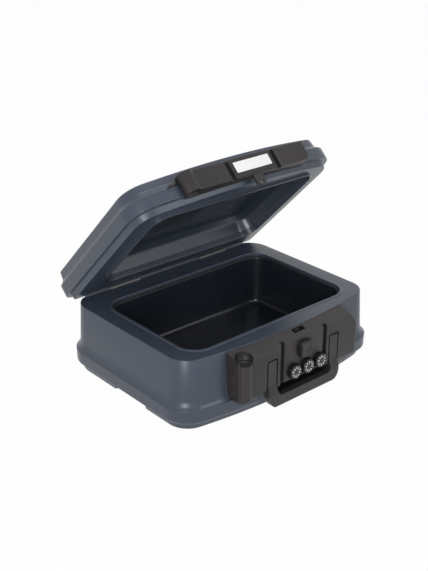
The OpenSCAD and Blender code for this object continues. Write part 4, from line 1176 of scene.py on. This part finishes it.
class Studio:
    """Pale floor, white surroundings and soft lamps."""

    LAMPS = (
        SoftLamp("key_left", (-2.1, -1.6, 0.9), (0.9, 1.5), 38.0),
        SoftLamp("fill_front", (0.9, -2.2, 1.7), (1.0, 1.2), 13.0),
        SoftLamp("top", (0.2, 0.6, 2.4), (1.4, 1.4), 14.0),
    )

    def build(self) -> None:
        """Creates the lamps, the world and the floor."""
        for lamp in self.LAMPS:
            lamp.build()
        self._world()
        self._floor()

    @staticmethod
    def _seen(tree: bpy.types.NodeTree) -> bpy.types.NodeSocket:
        """1 for rays from the camera, or through gloss or glass, and 0 for light on the object."""
        path = tree.nodes.new("ShaderNodeLightPath")
        first = NodeGroups._math(tree, "MAXIMUM", path.outputs["Is Camera Ray"], path.outputs["Is Glossy Ray"])
        return NodeGroups._math(tree, "MAXIMUM", first, path.outputs["Is Transmission Ray"])

    def _world(self) -> None:
        """White behind everything, and a weaker even light on the object."""
        world = bpy.data.worlds.new("white_room")
        bpy.context.scene.world = world
        world.use_nodes = True
        tree = world.node_tree
        tree.nodes.clear()
        out = tree.nodes.new("ShaderNodeOutputWorld")
        shown = tree.nodes.new("ShaderNodeBackground")
        shown.inputs["Strength"].default_value = 1.0
        shown.inputs["Color"].default_value = (1, 1, 1, 1)
        light = tree.nodes.new("ShaderNodeBackground")
        light.inputs["Strength"].default_value = 0.36
        light.inputs["Color"].default_value = (1, 1, 1, 1)
        mix = tree.nodes.new("ShaderNodeMixShader")
        tree.links.new(self._seen(tree), mix.inputs["Fac"])
        tree.links.new(light.outputs[0], mix.inputs[1])
        tree.links.new(shown.outputs[0], mix.inputs[2])
        tree.links.new(mix.outputs[0], out.inputs["Surface"])

    def _floor(self) -> None:
        """A wide pale disc that shows almost white and keeps a soft shadow."""
        steps = 96
        angle = np.linspace(0, 2 * np.pi, steps, endpoint=False)
        radius = 6000.0
        points = np.stack([radius * np.cos(angle), radius * np.sin(angle), np.full(steps, -0.3)], axis=-1)
        floor = make_object("floor", points, [list(range(steps))])
        material = bpy.data.materials.new("pale_floor")
        material.use_nodes = True
        tree = material.node_tree
        tree.nodes.clear()
        out = tree.nodes.new("ShaderNodeOutputMaterial")
        matte = tree.nodes.new("ShaderNodeBsdfDiffuse")
        matte.inputs["Color"].default_value = (0.85, 0.85, 0.85, 1)
        glow = tree.nodes.new("ShaderNodeEmission")
        glow.inputs["Color"].default_value = (1, 1, 1, 1)
        share = NodeGroups._math(tree, "MULTIPLY", self._seen(tree), 0.97)
        mix = tree.nodes.new("ShaderNodeMixShader")
        tree.links.new(share, mix.inputs["Fac"])
        tree.links.new(matte.outputs[0], mix.inputs[1])
        tree.links.new(glow.outputs[0], mix.inputs[2])
        tree.links.new(mix.outputs[0], out.inputs["Surface"])
        floor.data.materials.append(material)


def main() -> None:
    """Builds the scene, piece by piece."""
    logging.basicConfig(level=logging.INFO, format="%(name)s: %(message)s")
    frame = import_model()
    bpy.context.scene.view_settings.view_transform = "Standard"
    Camera().build()
    Studio().build()
    wardrobe = Wardrobe()
    slots = {entry["node"]: Slot(entry["material_slot"]) for entry in frame["record"]["subparts"]}
    for name, node in frame["nodes"].items():
        wardrobe.dress(smooth(node, 30), slots[name])
        LOG.info("node %s wears %s", name, slots[name].value)
    hinge = Hinge()
    wardrobe.seat(BaseShell().build(), Body.BASE, Slot.SHELL, "base_outer_shell")
    wardrobe.seat(LidShell().build(hinge), Body.LID, Slot.SHELL, "lid_outer_shell")
    for liner in Liners().build(hinge):
        wardrobe.seat(liner.obj, liner.body, Slot.LINER, liner.stands_for)
        if liner.body is Body.LID:
            liner.obj.data.materials[0] = wardrobe.lid_lining
    for name in ("catch_plate", "catch_frame", "latch_bolt"):
        wardrobe.dress(frame["nodes"][name], Slot.SEAL)
    housing, strip = FrontHousing(), LidStrip()
    front = wardrobe.seat(housing.build(), Body.BASE, Slot.BLACK, "front_housing")
    # paint shade into the finger recess with a near-black finish
    housing.paint_recess_shade(front, wardrobe.recess_shade_paint)
    wardrobe.seat(housing.panel(), Body.BASE, Slot.BLACK, "lock_panel")
    wardrobe.seat(Handle().build(), Body.HANDLE, Slot.BLACK, "carry_handle")
    wardrobe.seat(PushButton().build(), Body.BUTTON, Slot.BLACK, "push_button")
    for x, body in zip(dial_places(), (Body.DIAL_LEFT, Body.DIAL_MIDDLE, Body.DIAL_RIGHT)):
        dial = Dial()
        wardrobe.seat(dial.body(f"{body.value}_knob", x), body, Slot.DIAL, body.value)
        wardrobe.seat(dial.numbers(f"{body.value}_numbers", x), body, Slot.PLATE)
    wardrobe.seat(strip.build(hinge), Body.LID, Slot.BLACK, "lid_front_strip")
    wardrobe.seat(strip.panel(hinge), Body.LID, Slot.BLACK, "lid_centre_panel")
    wardrobe.seat(strip.plate(hinge), Body.LID, Slot.PLATE, "name_plate")


if __name__ == "__main__":
    main()
